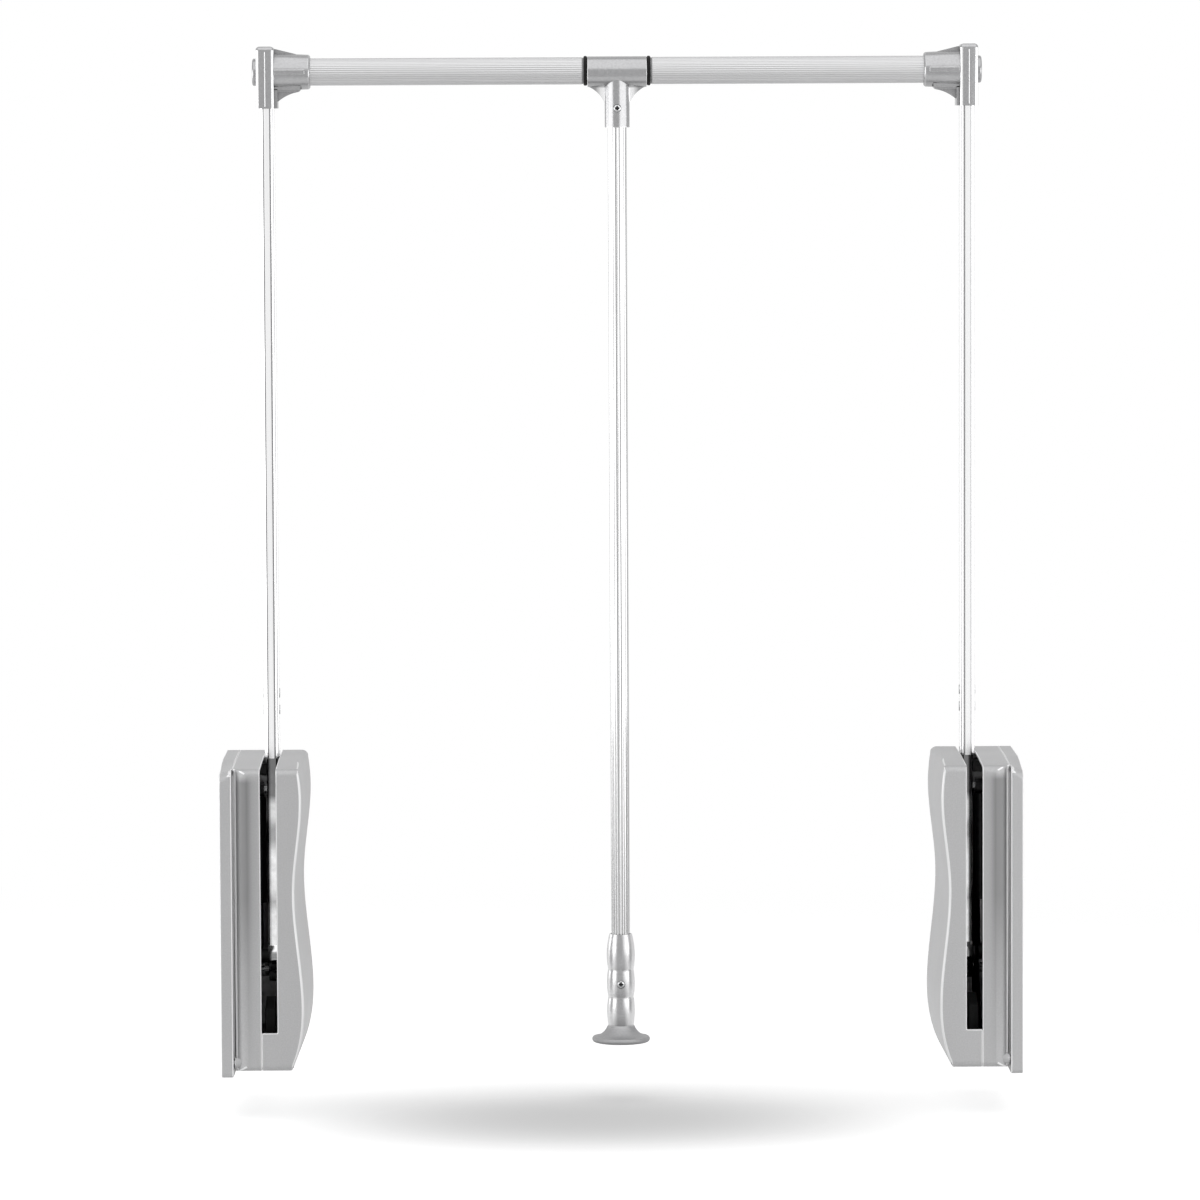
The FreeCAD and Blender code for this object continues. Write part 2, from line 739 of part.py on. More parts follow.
outlines = []
for offset, widen in (
    ("front_reach", -size("wave_edge")),
    ("front_reach - wave_edge", 0),
    ("-back_reach", size("side_flare")),
):
    outline = new_sketch(waisted_side, "XZ", offset)
    draw_waisted(outline, widen)
    outlines.append(outline)
loft(waisted_side, outlines, "Additive")
inner_cover = overlap("inner_cover", inner_block, waisted_side)
left_pieces.append(inner_cover)


# ---------------------------------------------------------------- left housing: folded steel chassis
chassis = new_body("chassis")
channel = new_sketch(chassis, "XY", "-chassis_foot")
draw_polygon(
    channel,
    [
        (PLATE_FACE, "-cheek_front"),
        (f"{PLATE_FACE} + sheet_thick", "-cheek_front"),
        (f"{PLATE_FACE} + sheet_thick", "chassis_back - sheet_thick"),
        (CHEEK_INNER, "chassis_back - sheet_thick"),
        (CHEEK_INNER, "-inner_cheek_front"),
        (f"{CHEEK_INNER} + sheet_thick", "-inner_cheek_front"),
        (f"{CHEEK_INNER} + sheet_thick", "chassis_back"),
        (PLATE_FACE, "chassis_back"),
    ],
)
pad(chassis, channel, f"chassis_foot + {CHASSIS_TOP}")
# Both cheeks are cut away at the top front, and the web has a window behind the strut.
slant = new_sketch(chassis, "YZ", PLATE_FACE)
draw_polygon(
    slant,
    [
        ("-cheek_front", CHASSIS_TOP),
        ("-cheek_front", f"{CHASSIS_TOP} - cheek_slant"),
        ("-inner_cheek_front", f"{CHASSIS_TOP} - cheek_slant"),
        ("chassis_back - 2 * cheek_slant / 3", CHASSIS_TOP),
    ],
)
pocket(chassis, slant, f"{CHEEK_INNER} + sheet_thick - {PLATE_FACE}")
window = new_sketch(chassis, "XZ", "-chassis_back")
draw_rectangle(
    window,
    f"{PLATE_FACE} + 3 * sheet_thick",
    "window_margin - chassis_foot",
    f"{CHEEK_INNER} - 2 * sheet_thick",
    f"{CHASSIS_TOP} - window_margin",
)
pocket(chassis, window, "sheet_thick", along_normal=True)
bores = new_sketch(chassis, "YZ", PLATE_FACE)
draw_circle(bores, "0", "0", "pivot_radius + running_gap + bush_wall")
draw_circle(bores, "strut_top_y", STRUT_TOP_Z, "strut_pin_radius")
pocket(chassis, bores, f"{CHEEK_INNER} + sheet_thick - {PLATE_FACE}")
plate_side_holes = new_sketch(chassis, "YZ", PLATE_FACE)
for y, z in CHASSIS_SCREWS:
    draw_circle(plate_side_holes, y, z, "chassis_screw_radius + snug_gap")
for z in WALL_SCREW_HEIGHTS:
    draw_circle(plate_side_holes, "wall_screw_mid_y + wall_screw_span_y / 2", z, "access_hole_radius")
pocket(chassis, plate_side_holes, "sheet_thick")
left_pieces.append(chassis)


# ---------------------------------------------------------------- left housing: screws
def screws_x(label, places, head_radius, head, shank_radius, length, head_x, pointing):
    """Round-headed screws along X whose heads start at head_x and whose shanks point either way."""
    screws = []
    for i, (y, z) in enumerate(places):
        head_part = new_rod(f"{label}_head_{i}", "x", head_radius, head, head_x, y, z)
        shank_x = head_x if pointing > 0 else f"{head_x} + {head} - ({length})"
        shank = new_rod(f"{label}_shank_{i}", "x", shank_radius, length, shank_x, y, z)
        screws.append(fused(f"{label}_{i}", [head_part, shank]))
    return grouped(label, screws)


left_pieces.append(
    screws_x(
        "cover_screws",
        BOSSES,
        "cover_screw_head_radius",
        "cover_screw_head",
        "cover_screw_radius",
        f"({SEAM} + cover_screw_bite - 3 * snug_gap)",
        "2 * snug_gap",
        1,
    )
)
left_pieces.append(
    screws_x(
        "chassis_screws",
        CHASSIS_SCREWS,
        "chassis_screw_head_radius",
        "chassis_screw_head",
        "chassis_screw_radius",
        "(chassis_screw_head + sheet_thick + chassis_screw_bite)",
        f"({PLATE_FACE} + sheet_thick)",
        -1,
    )
)


# ---------------------------------------------------------------- left housing: pivot
BUSH_BORE = "(pivot_radius + running_gap)"
bushes = []
for side, cheek_x, flange_x in (
    ("outer", PLATE_FACE, f"({PLATE_FACE} + sheet_thick)"),
    ("inner", f"({CHEEK_INNER} - bush_flange)", f"({CHEEK_INNER} - bush_flange)"),
):
    barrel = new_rod(
        f"{side}_bush_barrel", "x", f"{BUSH_BORE} + bush_wall", "sheet_thick + bush_flange", cheek_x, "0", "0"
    )
    flange = new_rod(f"{side}_bush_flange", "x", "bush_flange_radius", "bush_flange", flange_x, "0", "0")
    bore = new_rod(f"{side}_bush_bore", "x", BUSH_BORE, "sheet_thick + bush_flange", cheek_x, "0", "0")
    bushes.append(cut(f"{side}_bush", fused(f"{side}_bush_blank", [barrel, flange]), bore))
left_pieces.append(grouped("pivot_bushes", bushes))

PIN_START = f"({PLATE_FACE} + pivot_head)"
PIN_END = f"({CHEEK_INNER} + sheet_thick + pivot_tail)"
GROOVE_X = f"({CHEEK_INNER} + sheet_thick + clip_setback)"
pin_bar = new_rod("pivot_pin_bar", "x", "pivot_radius", f"{PIN_END} - {PIN_START}", PIN_START, "0", "0")
pin_groove = new_ring(
    "pivot_pin_groove", "x", "clip_radius", "pivot_radius - clip_groove",
    "clip_thick", GROOVE_X, "0", "0",
)
left_pieces.append(cut("pivot_pin", pin_bar, pin_groove))
clip_ring = new_ring(
    "clip_ring", "x", "clip_radius", "pivot_radius - clip_groove", "clip_thick", GROOVE_X, "0", "0"
)
clip_mouth = doc.addObject("Part::Box", "clip_mouth")
bind(clip_mouth, "Length", "clip_thick")
bind(clip_mouth, "Width", "pivot_radius")
bind(clip_mouth, "Height", "clip_radius")
bind(clip_mouth, "Placement.Base.x", GROOVE_X)
bind(clip_mouth, "Placement.Base.y", "-pivot_radius / 2")
left_pieces.append(cut("pivot_clip", clip_ring, clip_mouth))

LEVER_START = f"(arm_inset - {LEVER_THICK} / 2)"
LEVER_END = f"(arm_inset + {LEVER_THICK} / 2)"
OUTER_FLANGE_END = f"({PLATE_FACE} + sheet_thick + bush_flange)"
spacers = [
    new_ring(
        "outer_spacer", "x", "spacer_radius", "pivot_radius",
        f"{LEVER_START} - {OUTER_FLANGE_END} - running_gap", f"{OUTER_FLANGE_END} + running_gap", "0", "0",
    ),
    new_ring(
        "inner_spacer", "x", "spacer_radius", "pivot_radius",
        f"{CHEEK_INNER} - bush_flange - running_gap - {LEVER_END}", LEVER_END, "0", "0",
    ),
]
left_pieces.append(grouped("pivot_spacers", spacers))
left_pieces.append(
    new_rod(
        "strut_pin", "x", "strut_pin_radius", f"{CHEEK_INNER} + sheet_thick - {PLATE_FACE}",
        PLATE_FACE, "strut_top_y", STRUT_TOP_Z,
    )
)


# ---------------------------------------------------------------- left housing: rubber buffer
LEVER_REST = "(lever_depth / 2 / sin(swing_angle * 1 deg))"
REST_SLOPE = "cos(swing_angle * 1 deg) / sin(swing_angle * 1 deg)"
buffer_block = new_body("stop_buffer", "arm_inset - buffer_width / 2")
side_view = new_sketch(buffer_block, "YZ")
draw_polygon(
    side_view,
    [
        ("-buffer_front", f"cover_wall + {COVER_FOOT}"),
        ("-buffer_back", f"cover_wall + {COVER_FOOT}"),
        ("-buffer_back", f"buffer_back * {REST_SLOPE} - {LEVER_REST} - buffer_gap"),
        ("-buffer_front", f"buffer_front * {REST_SLOPE} - {LEVER_REST} - buffer_gap"),
    ],
)
pad(buffer_block, side_view, "buffer_width")
left_pieces.append(buffer_block)


# ---------------------------------------------------------------- left gas strut
strut_cylinder = new_body("strut_cylinder", STRUT_X, "strut_top_y", STRUT_TOP_Z)
strut_tilt = math.degrees(
    math.atan2(
        size("strut_top_y") - size("crank_radius") * math.cos(math.radians(size("crank_angle"))),
        TOP - size("strut_top_drop") - size("crank_radius") * math.sin(math.radians(size("crank_angle"))),
    )
)
strut_cylinder.Placement.Rotation = Rotation(Vector(1, 0, 0), -strut_tilt)
STRUT_SPAN = f"sqrt((strut_top_y - {CRANK_Y})^2 + ({STRUT_TOP_Z} - {CRANK_Z})^2)"
barrel = new_sketch(strut_cylinder, "XY", "-strut_length")
draw_circle(barrel, "0", "0", "strut_radius")
pad(strut_cylinder, barrel, "strut_length - strut_eye_radius")
bore = new_sketch(strut_cylinder, "XY", "-strut_length")
draw_circle(bore, "0", "0", "strut_bore_radius")
pocket(strut_cylinder, bore, "strut_length - strut_cap - strut_eye_radius")
lid = new_sketch(strut_cylinder, "XY", "-strut_length")
draw_circle(lid, "0", "0", "strut_radius")
draw_circle(lid, "0", "0", "rod_radius + running_gap")
pad(strut_cylinder, lid, "bush_wall")
eye = new_sketch(strut_cylinder, "YZ", "-strut_eye_thick / 2")
draw_circle(eye, "0", "0", "strut_eye_radius + running_gap")
pad(strut_cylinder, eye, "strut_eye_thick")
eye_bore = new_sketch(strut_cylinder, "YZ", "-strut_radius")
draw_circle(eye_bore, "0", "0", "strut_pin_radius + running_gap")
pocket(strut_cylinder, eye_bore, "2 * strut_radius")
left_pieces.append(strut_cylinder)

strut_rod = new_body("strut_rod", STRUT_X, CRANK_Y, CRANK_Z)
strut_rod.Placement.Rotation = Rotation(Vector(1, 0, 0), -strut_tilt)
shaft = new_sketch(strut_rod, "XY", "rod_eye_radius - rod_lap")
draw_circle(shaft, "0", "0", "rod_radius")
pad(strut_rod, shaft, f"{STRUT_SPAN} - strut_length + rod_hidden - rod_eye_radius + rod_lap")
piston = new_sketch(strut_rod, "XY", f"{STRUT_SPAN} - strut_length + rod_hidden - rod_piston")
draw_circle(piston, "0", "0", "strut_bore_radius - running_gap")
pad(strut_rod, piston, "rod_piston")
eye = new_sketch(strut_rod, "YZ", "-rod_eye_thick / 2")
draw_circle(eye, "0", "0", "rod_eye_radius")
pad(strut_rod, eye, "rod_eye_thick")
crank_pin = new_sketch(strut_rod, "YZ", "-rod_eye_thick / 2")
draw_circle(crank_pin, "0", "0", "crank_pin_radius")
pad(strut_rod, crank_pin, f"rod_eye_thick / 2 + {LEVER_END} - {STRUT_X}")
left_pieces.append(strut_rod)


# ---------------------------------------------------------------- left lever: steel bar with a crank ear
lever = new_body("lever", LEVER_START)
bar = new_sketch(lever, "YZ")
draw_rectangle(bar, "-lever_depth / 2", "0", "lever_depth / 2", f"{ARM_FOOT} + lever_lap")
pad(lever, bar, LEVER_THICK)
round_edges(lever, "lever_edge_radius", lambda edge: runs_along(edge, "z"))
for y, z, radius in (
    ("0", "0", "lever_boss_radius"),
    ("ear_centre * cos(crank_angle * 1 deg)", "ear_centre * sin(crank_angle * 1 deg)", "ear_radius"),
):
    disc = new_sketch(lever, "YZ")
    draw_circle(disc, y, z, radius)
    pad(lever, disc, LEVER_THICK)
pivot_bore = new_sketch(lever, "YZ")
draw_circle(pivot_bore, "0", "0", "pivot_radius")
pocket(lever, pivot_bore, LEVER_THICK)
# The crank pin slides along this slot, which points away from the pivot.
EAR_HALF = "(crank_pin_radius + ear_slot_side_gap)"
COS = "cos(crank_angle * 1 deg)"
SIN = "sin(crank_angle * 1 deg)"
ear_slot = new_sketch(lever, "YZ")
draw_polygon(
    ear_slot,
    [
        (f"{reach} * {COS} - {side}{EAR_HALF} * {SIN}", f"{reach} * {SIN} + {side}{EAR_HALF} * {COS}")
        for reach, side in (
            ("ear_slot_inner", "-1 * "),
            (SLOT_RIM, "-1 * "),
            (SLOT_RIM, ""),
            ("ear_slot_inner", ""),
        )
    ],
)
pocket(lever, ear_slot, LEVER_THICK)
rivet_holes = new_sketch(lever, "YZ")
for rise in ("rivet_low", "rivet_high"):
    draw_circle(rivet_holes, "0", f"{ARM_FOOT} + {rise}", "rivet_radius")
pocket(lever, rivet_holes, LEVER_THICK)
left_pieces.append(lever)


# ---------------------------------------------------------------- left arm: flat aluminium tube
arm_tube = new_body("arm_tube", "arm_inset")
outside = new_sketch(arm_tube, "XY", ARM_FOOT)
draw_rectangle(outside, "-arm_width / 2", "-arm_depth / 2", "arm_width / 2", "arm_depth / 2")
ARM_LENGTH = f"(rail_height - arm_seat - {ARM_FOOT})"
pad(arm_tube, outside, ARM_LENGTH)
hollow = new_sketch(arm_tube, "XY", ARM_FOOT)
draw_rectangle(
    hollow,
    "arm_side_wall - arm_width / 2",
    "arm_wall - arm_depth / 2",
    "arm_width / 2 - arm_side_wall",
    "arm_depth / 2 - arm_wall",
)
pocket(arm_tube, hollow, ARM_LENGTH)


def hollow_edge(edge):
    return runs_along(edge, "z") and abs(centre(edge).y) < size("arm_depth") / 2 - size("arm_wall") / 2


def outside_edge(edge):
    return runs_along(edge, "z") and close(abs(centre(edge).y), size("arm_depth") / 2)


round_edges(arm_tube, "arm_hollow_corner", hollow_edge)
round_edges(arm_tube, "arm_corner", outside_edge)
rivet_holes = new_sketch(arm_tube, "YZ", "-arm_width / 2")
for rise in ("rivet_low", "rivet_high"):
    draw_circle(rivet_holes, "0", f"{ARM_FOOT} + {rise}", "rivet_radius")
pocket(arm_tube, rivet_holes, "arm_width")
left_pieces.append(arm_tube)

rivets = []
for rise in ("rivet_low", "rivet_high"):
    z = f"{ARM_FOOT} + {rise}"
    shank = new_rod(f"{rise}_shank", "x", "rivet_radius", "arm_width", "arm_inset - arm_width / 2", "0", z)
    heads = [
        new_rod(f"{rise}_{end}_head", "x", "rivet_head_radius", "rivet_head", x, "0", z)
        for end, x in (
            ("outer", "arm_inset - arm_width / 2 - rivet_head"),
            ("inner", "arm_inset + arm_width / 2"),
        )
    ]
    rivets.append(fused(f"{rise}_rivet", [shank] + heads))
left_pieces.append(grouped("arm_rivets", rivets))


# ---------------------------------------------------------------- left corner bracket: die casting
bracket = new_body("corner_bracket", "0", "0", "rail_height")
block = new_sketch(bracket, "XY", "-bracket_below")
BLOCK_OUTSIDE = "(arm_inset - bracket_outside)"
draw_rectangle(block, BLOCK_OUTSIDE, "-bracket_depth / 2", BLOCK_INSIDE, "bracket_depth / 2")
pad(bracket, block, "bracket_below + bracket_above")
round_edges(bracket, "bracket_nose_radius", lambda edge: runs_along(edge, "z"))
round_edges(bracket, "bracket_top_radius", lambda edge: close(edge.BoundBox.ZMin, size("bracket_above")))
block_inside_x = size("arm_inset") + size("bracket_inside")
socket = new_sketch(bracket, "XZ")
draw_polygon(
    socket,
    [
        ("arm_inset", "0"),
        (SOCKET_END, "0"),
        (SOCKET_END, "socket_tip_radius - socket_lip"),
        (f"{SOCKET_END} - socket_lip", "socket_tip_radius"),
        (BLOCK_INSIDE, "socket_root_radius"),
        ("arm_inset", "socket_root_radius"),
    ],
)
revolve(bracket, socket, "H_Axis")
# A flat rib runs along the front of the socket, and another down the middle of the nose.
socket_rib = new_sketch(bracket, "XZ", "socket_root_radius / 2")
draw_rectangle(
    socket_rib,
    BLOCK_INSIDE,
    "-socket_rib_height / 2",
    f"{SOCKET_END} - socket_rib_inset",
    "socket_rib_height / 2",
)
pad(bracket, socket_rib, "socket_root_radius / 2 + nose_rib")
nose_rib = new_sketch(bracket, "XY", "-bracket_below")
draw_rectangle(
    nose_rib,
    "arm_inset - nose_rib_width / 2",
    "-bracket_depth / 2 - nose_rib",
    "arm_inset + nose_rib_width / 2",
    "-bracket_depth / 2 + nose_rib",
)
pad(bracket, nose_rib, "bracket_below + bracket_above - bracket_top_radius")
# Thin webs brace the socket: a hollow curve below it, under a flat ledge, and a short slope above.
lower_web = new_sketch(bracket, "XZ", "-web_thick / 2")
web_foot = Vector(block_inside_x, size("web_drop") - size("bracket_below"), 0)
web_tip = Vector(block_inside_x + size("web_reach"), -size("ledge_low"), 0)
web_bend = web_foot * 0.5 + web_tip * 0.5 + Vector(-1, 1, 0) * size("web_hollow")
web_root = Vector(size("arm_inset"), web_foot.y, 0)
web_back = Vector(size("arm_inset"), web_tip.y, 0)
lower_web.addGeometry(Part.Arc(web_foot, web_bend, web_tip))
lower_web.addGeometry(Part.LineSegment(web_tip, web_back))
lower_web.addGeometry(Part.LineSegment(web_back, web_root))
lower_web.addGeometry(Part.LineSegment(web_root, web_foot))
pad(bracket, lower_web, "web_thick")
ledge = new_sketch(bracket, "XZ", "-ledge_depth / 2")
draw_polygon(
    ledge,
    [
        ("arm_inset", "-ledge_low"),
        (f"{BLOCK_INSIDE} + web_reach", "-ledge_low"),
        (f"{BLOCK_INSIDE} + web_reach + 2 * socket_lip", "-ledge_high"),
        ("arm_inset", "-ledge_high"),
    ],
)
pad(bracket, ledge, "ledge_depth")
# The block is wider behind the nose where it holds the arm.
flank = new_sketch(bracket, "XY", "-bracket_below")
draw_rectangle(
    flank,
    "arm_inset",
    "flank_setback - bracket_depth / 2",
    f"{BLOCK_INSIDE} + flank_proud",
    "bracket_depth / 2",
)
pad(bracket, flank, "bracket_below - ledge_high")
upper_web = new_sketch(bracket, "XZ", "-web_thick / 2")
draw_polygon(
    upper_web,
    [
        ("arm_inset", "socket_tip_radius / 2"),
        (f"{BLOCK_INSIDE} + web_reach", "socket_tip_radius / 2"),
        (f"{BLOCK_INSIDE} + web_reach", "socket_tip_radius"),
        (BLOCK_INSIDE, "bracket_above - bracket_top_radius / 2"),
        ("arm_inset", "bracket_above - bracket_top_radius / 2"),
    ],
)
pad(bracket, upper_web, "web_thick")
rail_bore = new_sketch(bracket, "YZ", RAIL_START)
draw_circle(rail_bore, "0", "0", "rail_radius")
pocket(bracket, rail_bore, "rail_seat")
arm_socket = new_sketch(bracket, "XY", "-bracket_below")
draw_rectangle(
    arm_socket,
    "arm_inset - arm_width / 2",
    "-arm_depth / 2",
    "arm_inset + arm_width / 2",
    "arm_depth / 2",
)
pocket(bracket, arm_socket, "bracket_below - arm_seat")


def socket_corner(edge):
    across = close(abs(centre(edge).x - size("arm_inset")), size("arm_width") / 2)
    return runs_along(edge, "z") and across and close(abs(centre(edge).y), size("arm_depth") / 2)


round_edges(bracket, "arm_corner", socket_corner)
arm_screw_hole = new_sketch(bracket, "XZ", "-bracket_depth / 2")
draw_circle(arm_screw_hole, "arm_inset", "-arm_screw_drop", "bracket_screw_radius")
pocket(bracket, arm_screw_hole, "(bracket_depth - arm_depth) / 2")
arm_screw_recess = new_sketch(bracket, "XZ", "-bracket_depth / 2")
draw_circle(arm_screw_recess, "arm_inset", "-arm_screw_drop", "bracket_screw_head_radius + snug_gap")
pocket(bracket, arm_screw_recess, "bracket_screw_head")
rail_screw_hole = new_sketch(bracket, "XZ", "-socket_root_radius")
draw_circle(rail_screw_hole, f"{SOCKET_END} - rail_screw_inset", "0", "bracket_screw_radius")
pocket(bracket, rail_screw_hole, "socket_root_radius - rail_radius")
left_pieces.append(bracket)

bracket_cap = new_body("bracket_cap", f"{BLOCK_OUTSIDE} - cap_proud", "0", "rail_height")
disc = new_sketch(bracket_cap, "YZ")
draw_circle(disc, "0", "0", "cap_radius")
pad(bracket_cap, disc, "cap_proud")
round_edges(bracket_cap, "cap_edge_radius", lambda edge: close(edge.BoundBox.XMax, 0))
left_pieces.append(bracket_cap)

arm_screw = fused(
    "arm_screw",
    [
        new_rod(
            "arm_screw_head", "y", "bracket_screw_head_radius", "bracket_screw_head",
            "arm_inset", "bracket_depth / 2 - bracket_screw_head", "rail_height - arm_screw_drop",
        ),
        new_rod(
            "arm_screw_shank", "y", "bracket_screw_radius", "bracket_depth / 2 - arm_depth / 2",
            "arm_inset", "arm_depth / 2", "rail_height - arm_screw_drop",
        ),
    ],
)
rail_screw = fused(
    "rail_screw",
    [
        new_rod(
            "rail_screw_head", "y", "bracket_screw_head_radius", "bracket_screw_head",
            f"{SOCKET_END} - rail_screw_inset", "socket_root_radius", "rail_height",
        ),
        new_rod(
            "rail_screw_shank", "y", "bracket_screw_radius", "socket_root_radius - rail_radius",
            f"{SOCKET_END} - rail_screw_inset", "rail_radius", "rail_height",
        ),
    ],
)
left_pieces.append(grouped("bracket_screws", [arm_screw, rail_screw]))


# ---------------------------------------------------------------- left rail tube and its sliding guide
rail_tube = new_body("rail_tube", RAIL_START, "0", "rail_height")
section = new_sketch(rail_tube, "YZ")
draw_circle(section, "0", "0", "rail_radius")
draw_circle(section, "0", "0", "rail_radius - rail_wall")
pad(rail_tube, section, f"{RAIL_END} - {RAIL_START}")
left_pieces.append(rail_tube)

guide_barrel = new_rod(
    "guide_barrel", "x", "rail_radius - rail_wall", "guide_length",
    f"{RAIL_END} - guide_length", "0", "rail_height",
)
guide_flange = new_rod(
    "guide_flange", "x", "guide_flange_radius", "guide_flange", RAIL_END, "0", "rail_height",
)
guide_bore = new_rod(
    "guide_bore", "x", "centre_tube_radius + running_gap", "guide_length + guide_flange",
    f"{RAIL_END} - guide_length", "0", "rail_height",
)
left_pieces.append(cut("rail_guide", fused("guide_blank", [guide_barrel, guide_flange]), guide_bore))


# ---------------------------------------------------------------- centre tube with two rubber rings
CENTRE_START = f"({HALF_WIDTH} - centre_tube_length / 2)"
centre_pieces.append(
    new_ring(
        "centre_tube", "x", "centre_tube_radius", "centre_tube_radius - centre_tube_wall",
        "centre_tube_length", CENTRE_START, "0", "rail_height",
    )
)
TEE_LEFT = f"({HALF_WIDTH} - tee_length / 2)"
TEE_RIGHT = f"({HALF_WIDTH} + tee_length / 2)"
rings = [
    new_ring(
        f"{side}_tee_ring", "x", "tee_ring_radius", "centre_tube_radius",
        "tee_ring_width", x, "0", "rail_height",
    )
    for side, x in (("left", f"{TEE_LEFT} - tee_ring_width"), ("right", TEE_RIGHT))
]
centre_pieces.append(grouped("tee_rings", rings))


# ---------------------------------------------------------------- tee fitting
tee = new_body("tee_fitting", HALF_WIDTH, "0", "rail_height")
sleeve = new_sketch(tee, "YZ", "running_gap - tee_length / 2")
draw_circle(sleeve, "0", "-tee_sag", "tee_radius")
pad(tee, sleeve, "tee_length - 2 * running_gap")
stem = new_sketch(tee, "XY")
draw_circle(stem, "0", "0", "stem_radius")
pad(tee, stem, "stem_drop", backwards=True)
for side in (-1, 1):
    web = new_sketch(tee, "XZ", "-stem_web_thick / 2")
    outer_tip = Vector(
        side * size("stem_web_reach"), size("stem_web_lap") - size("tee_radius") - size("tee_sag"), 0
    )
    lower_tip = Vector(side * (size("stem_radius") - size("stem_web_lap")), -size("stem_web_drop"), 0)
    bend = (outer_tip + lower_tip) / 2 + Vector(-side, 1, 0) * size("stem_web_hollow")
    corner = Vector(lower_tip.x, outer_tip.y, 0)
    web.addGeometry(Part.Arc(outer_tip, bend, lower_tip))
    web.addGeometry(Part.LineSegment(lower_tip, corner))
    web.addGeometry(Part.LineSegment(corner, outer_tip))
    pad(tee, web, "stem_web_thick")
sleeve_bore = new_sketch(tee, "YZ", "-tee_length / 2")
draw_circle(sleeve_bore, "0", "0", "centre_tube_radius + running_gap + tee_bush_wall")
pocket(tee, sleeve_bore, "tee_length")
stem_bore = new_sketch(tee, "XY", "-stem_drop")
draw_circle(stem_bore, "0", "0", "pull_radius")
pocket(tee, stem_bore, "stem_drop - pull_seat")
screw_hole = new_sketch(tee, "XZ", "pull_radius - pull_wall")
draw_circle(screw_hole, "0", "-tee_screw_drop", "small_screw_radius")
pocket(tee, screw_hole, "stem_radius", along_normal=True)
screw_recess = new_sketch(tee, "XZ", "stem_radius - small_screw_head")
draw_circle(screw_recess, "0", "-tee_screw_drop", "small_screw_head_radius + snug_gap")
pocket(tee, screw_recess, "2 * small_screw_head", along_normal=True)
centre_pieces.append(tee)

tee_bushes = [
    new_ring(
        f"{side}_tee_bush", "x", "centre_tube_radius + running_gap + tee_bush_wall",
        "centre_tube_radius + running_gap", "tee_bush_length", x, "0", "rail_height",
    )
    for side, x in (
        ("left", f"{TEE_LEFT} + running_gap"),
        ("right", f"{TEE_RIGHT} - running_gap - tee_bush_length"),
    )
]
centre_pieces.append(grouped("tee_bushes", tee_bushes))


def front_screw(label, face_y, drop_z, reach):
    """Small screw that enters from the front and stops inside the pull tube's wall."""
    head = new_rod(
        f"{label}_head", "y", "small_screw_head_radius", "small_screw_head",
        HALF_WIDTH, f"-({face_y})", drop_z,
    )
    shank = new_rod(f"{label}_shank", "y", "small_screw_radius", reach, HALF_WIDTH, f"-({face_y})", drop_z)
    return fused(label, [head, shank])


centre_pieces.append(
    front_screw(
        "tee_screw", "stem_radius", "rail_height - tee_screw_drop",
        "stem_radius - pull_radius + pull_wall",
    )
)


# ---------------------------------------------------------------- pull tube and contoured grip
PULL_TOP = "(rail_height - pull_seat)"
PULL_FOOT = "(grip_top - grip_bore_depth)"
pull_tube = new_body("pull_tube", HALF_WIDTH)
section = new_sketch(pull_tube, "XY", PULL_FOOT)
draw_circle(section, "0", "0", "pull_radius")
draw_circle(section, "0", "0", "pull_radius - pull_wall")
pad(pull_tube, section, f"{PULL_TOP} - {PULL_FOOT}")
tube_holes = new_sketch(pull_tube, "XZ")
draw_circle(tube_holes, "0", "rail_height - tee_screw_drop", "small_screw_radius")
draw_circle(tube_holes, "0", "grip_top - grip_screw_drop", "small_screw_radius")
pocket(pull_tube, tube_holes, "pull_radius", along_normal=True)
centre_pieces.append(pull_tube)

grip = new_body("pull_grip", HALF_WIDTH, "0", "grip_top")
profile = new_sketch(grip, "XZ")
rim = Vector(size("grip_rim_radius"), 0, 0)
neck_z = -size("grip_neck")
swell = size("grip_bulge_radius")
valley = size("grip_valley_radius")
VALLEY_SHARES = (0.39, 0.69, 1)
joints = [rim] + [Vector(valley, neck_z * share, 0) for share in VALLEY_SHARES]
for upper, lower in zip(joints, joints[1:]):
    profile.addGeometry(Part.Arc(upper, Vector(swell, (upper.y + lower.y) / 2, 0), lower))
flare_edge = Vector(size("grip_flare_edge"), 0, 0)
flare_rim = Vector(size("grip_flare_radius"), size("grip_flare_thick") / 2 - size("grip_length"), 0)
flare_top = flare_rim - flare_edge + Vector(0, size("grip_flare_thick") / 2, 0)
flare_foot = flare_rim - flare_edge * 2 - Vector(0, size("grip_flare_thick") / 2, 0)
neck = joints[-1]
collar = neck + Vector(1, -1, 0) * size("grip_collar")
profile.addGeometry(Part.LineSegment(neck, collar))
flare_bend = (collar + flare_top) / 2 - Vector(1, 1, 0) * size("grip_flare_hollow")
profile.addGeometry(Part.Arc(collar, flare_bend, flare_top))
profile.addGeometry(Part.Arc(flare_top, flare_rim, flare_foot))
profile.addGeometry(Part.LineSegment(flare_foot, Vector(0, -size("grip_length"), 0)))
profile.addGeometry(Part.LineSegment(Vector(0, -size("grip_length"), 0), Vector(0, 0, 0)))
profile.addGeometry(Part.LineSegment(Vector(0, 0, 0), rim))
revolve(grip, profile, "V_Axis")
tube_bore = new_sketch(grip, "XY")
draw_circle(tube_bore, "0", "0", "pull_radius")
pocket(grip, tube_bore, "grip_bore_depth", along_normal=False)
mouth = new_sketch(grip, "XY")
draw_circle(mouth, "0", "0", "pull_radius + grip_bore_gap")
pocket(grip, mouth, "2 * grip_bore_gap", along_normal=False)
screw_hole = new_sketch(grip, "XZ")
draw_circle(screw_hole, "0", "-grip_screw_drop", "small_screw_radius")
pocket(grip, screw_hole, "grip_bulge_radius", along_normal=True)
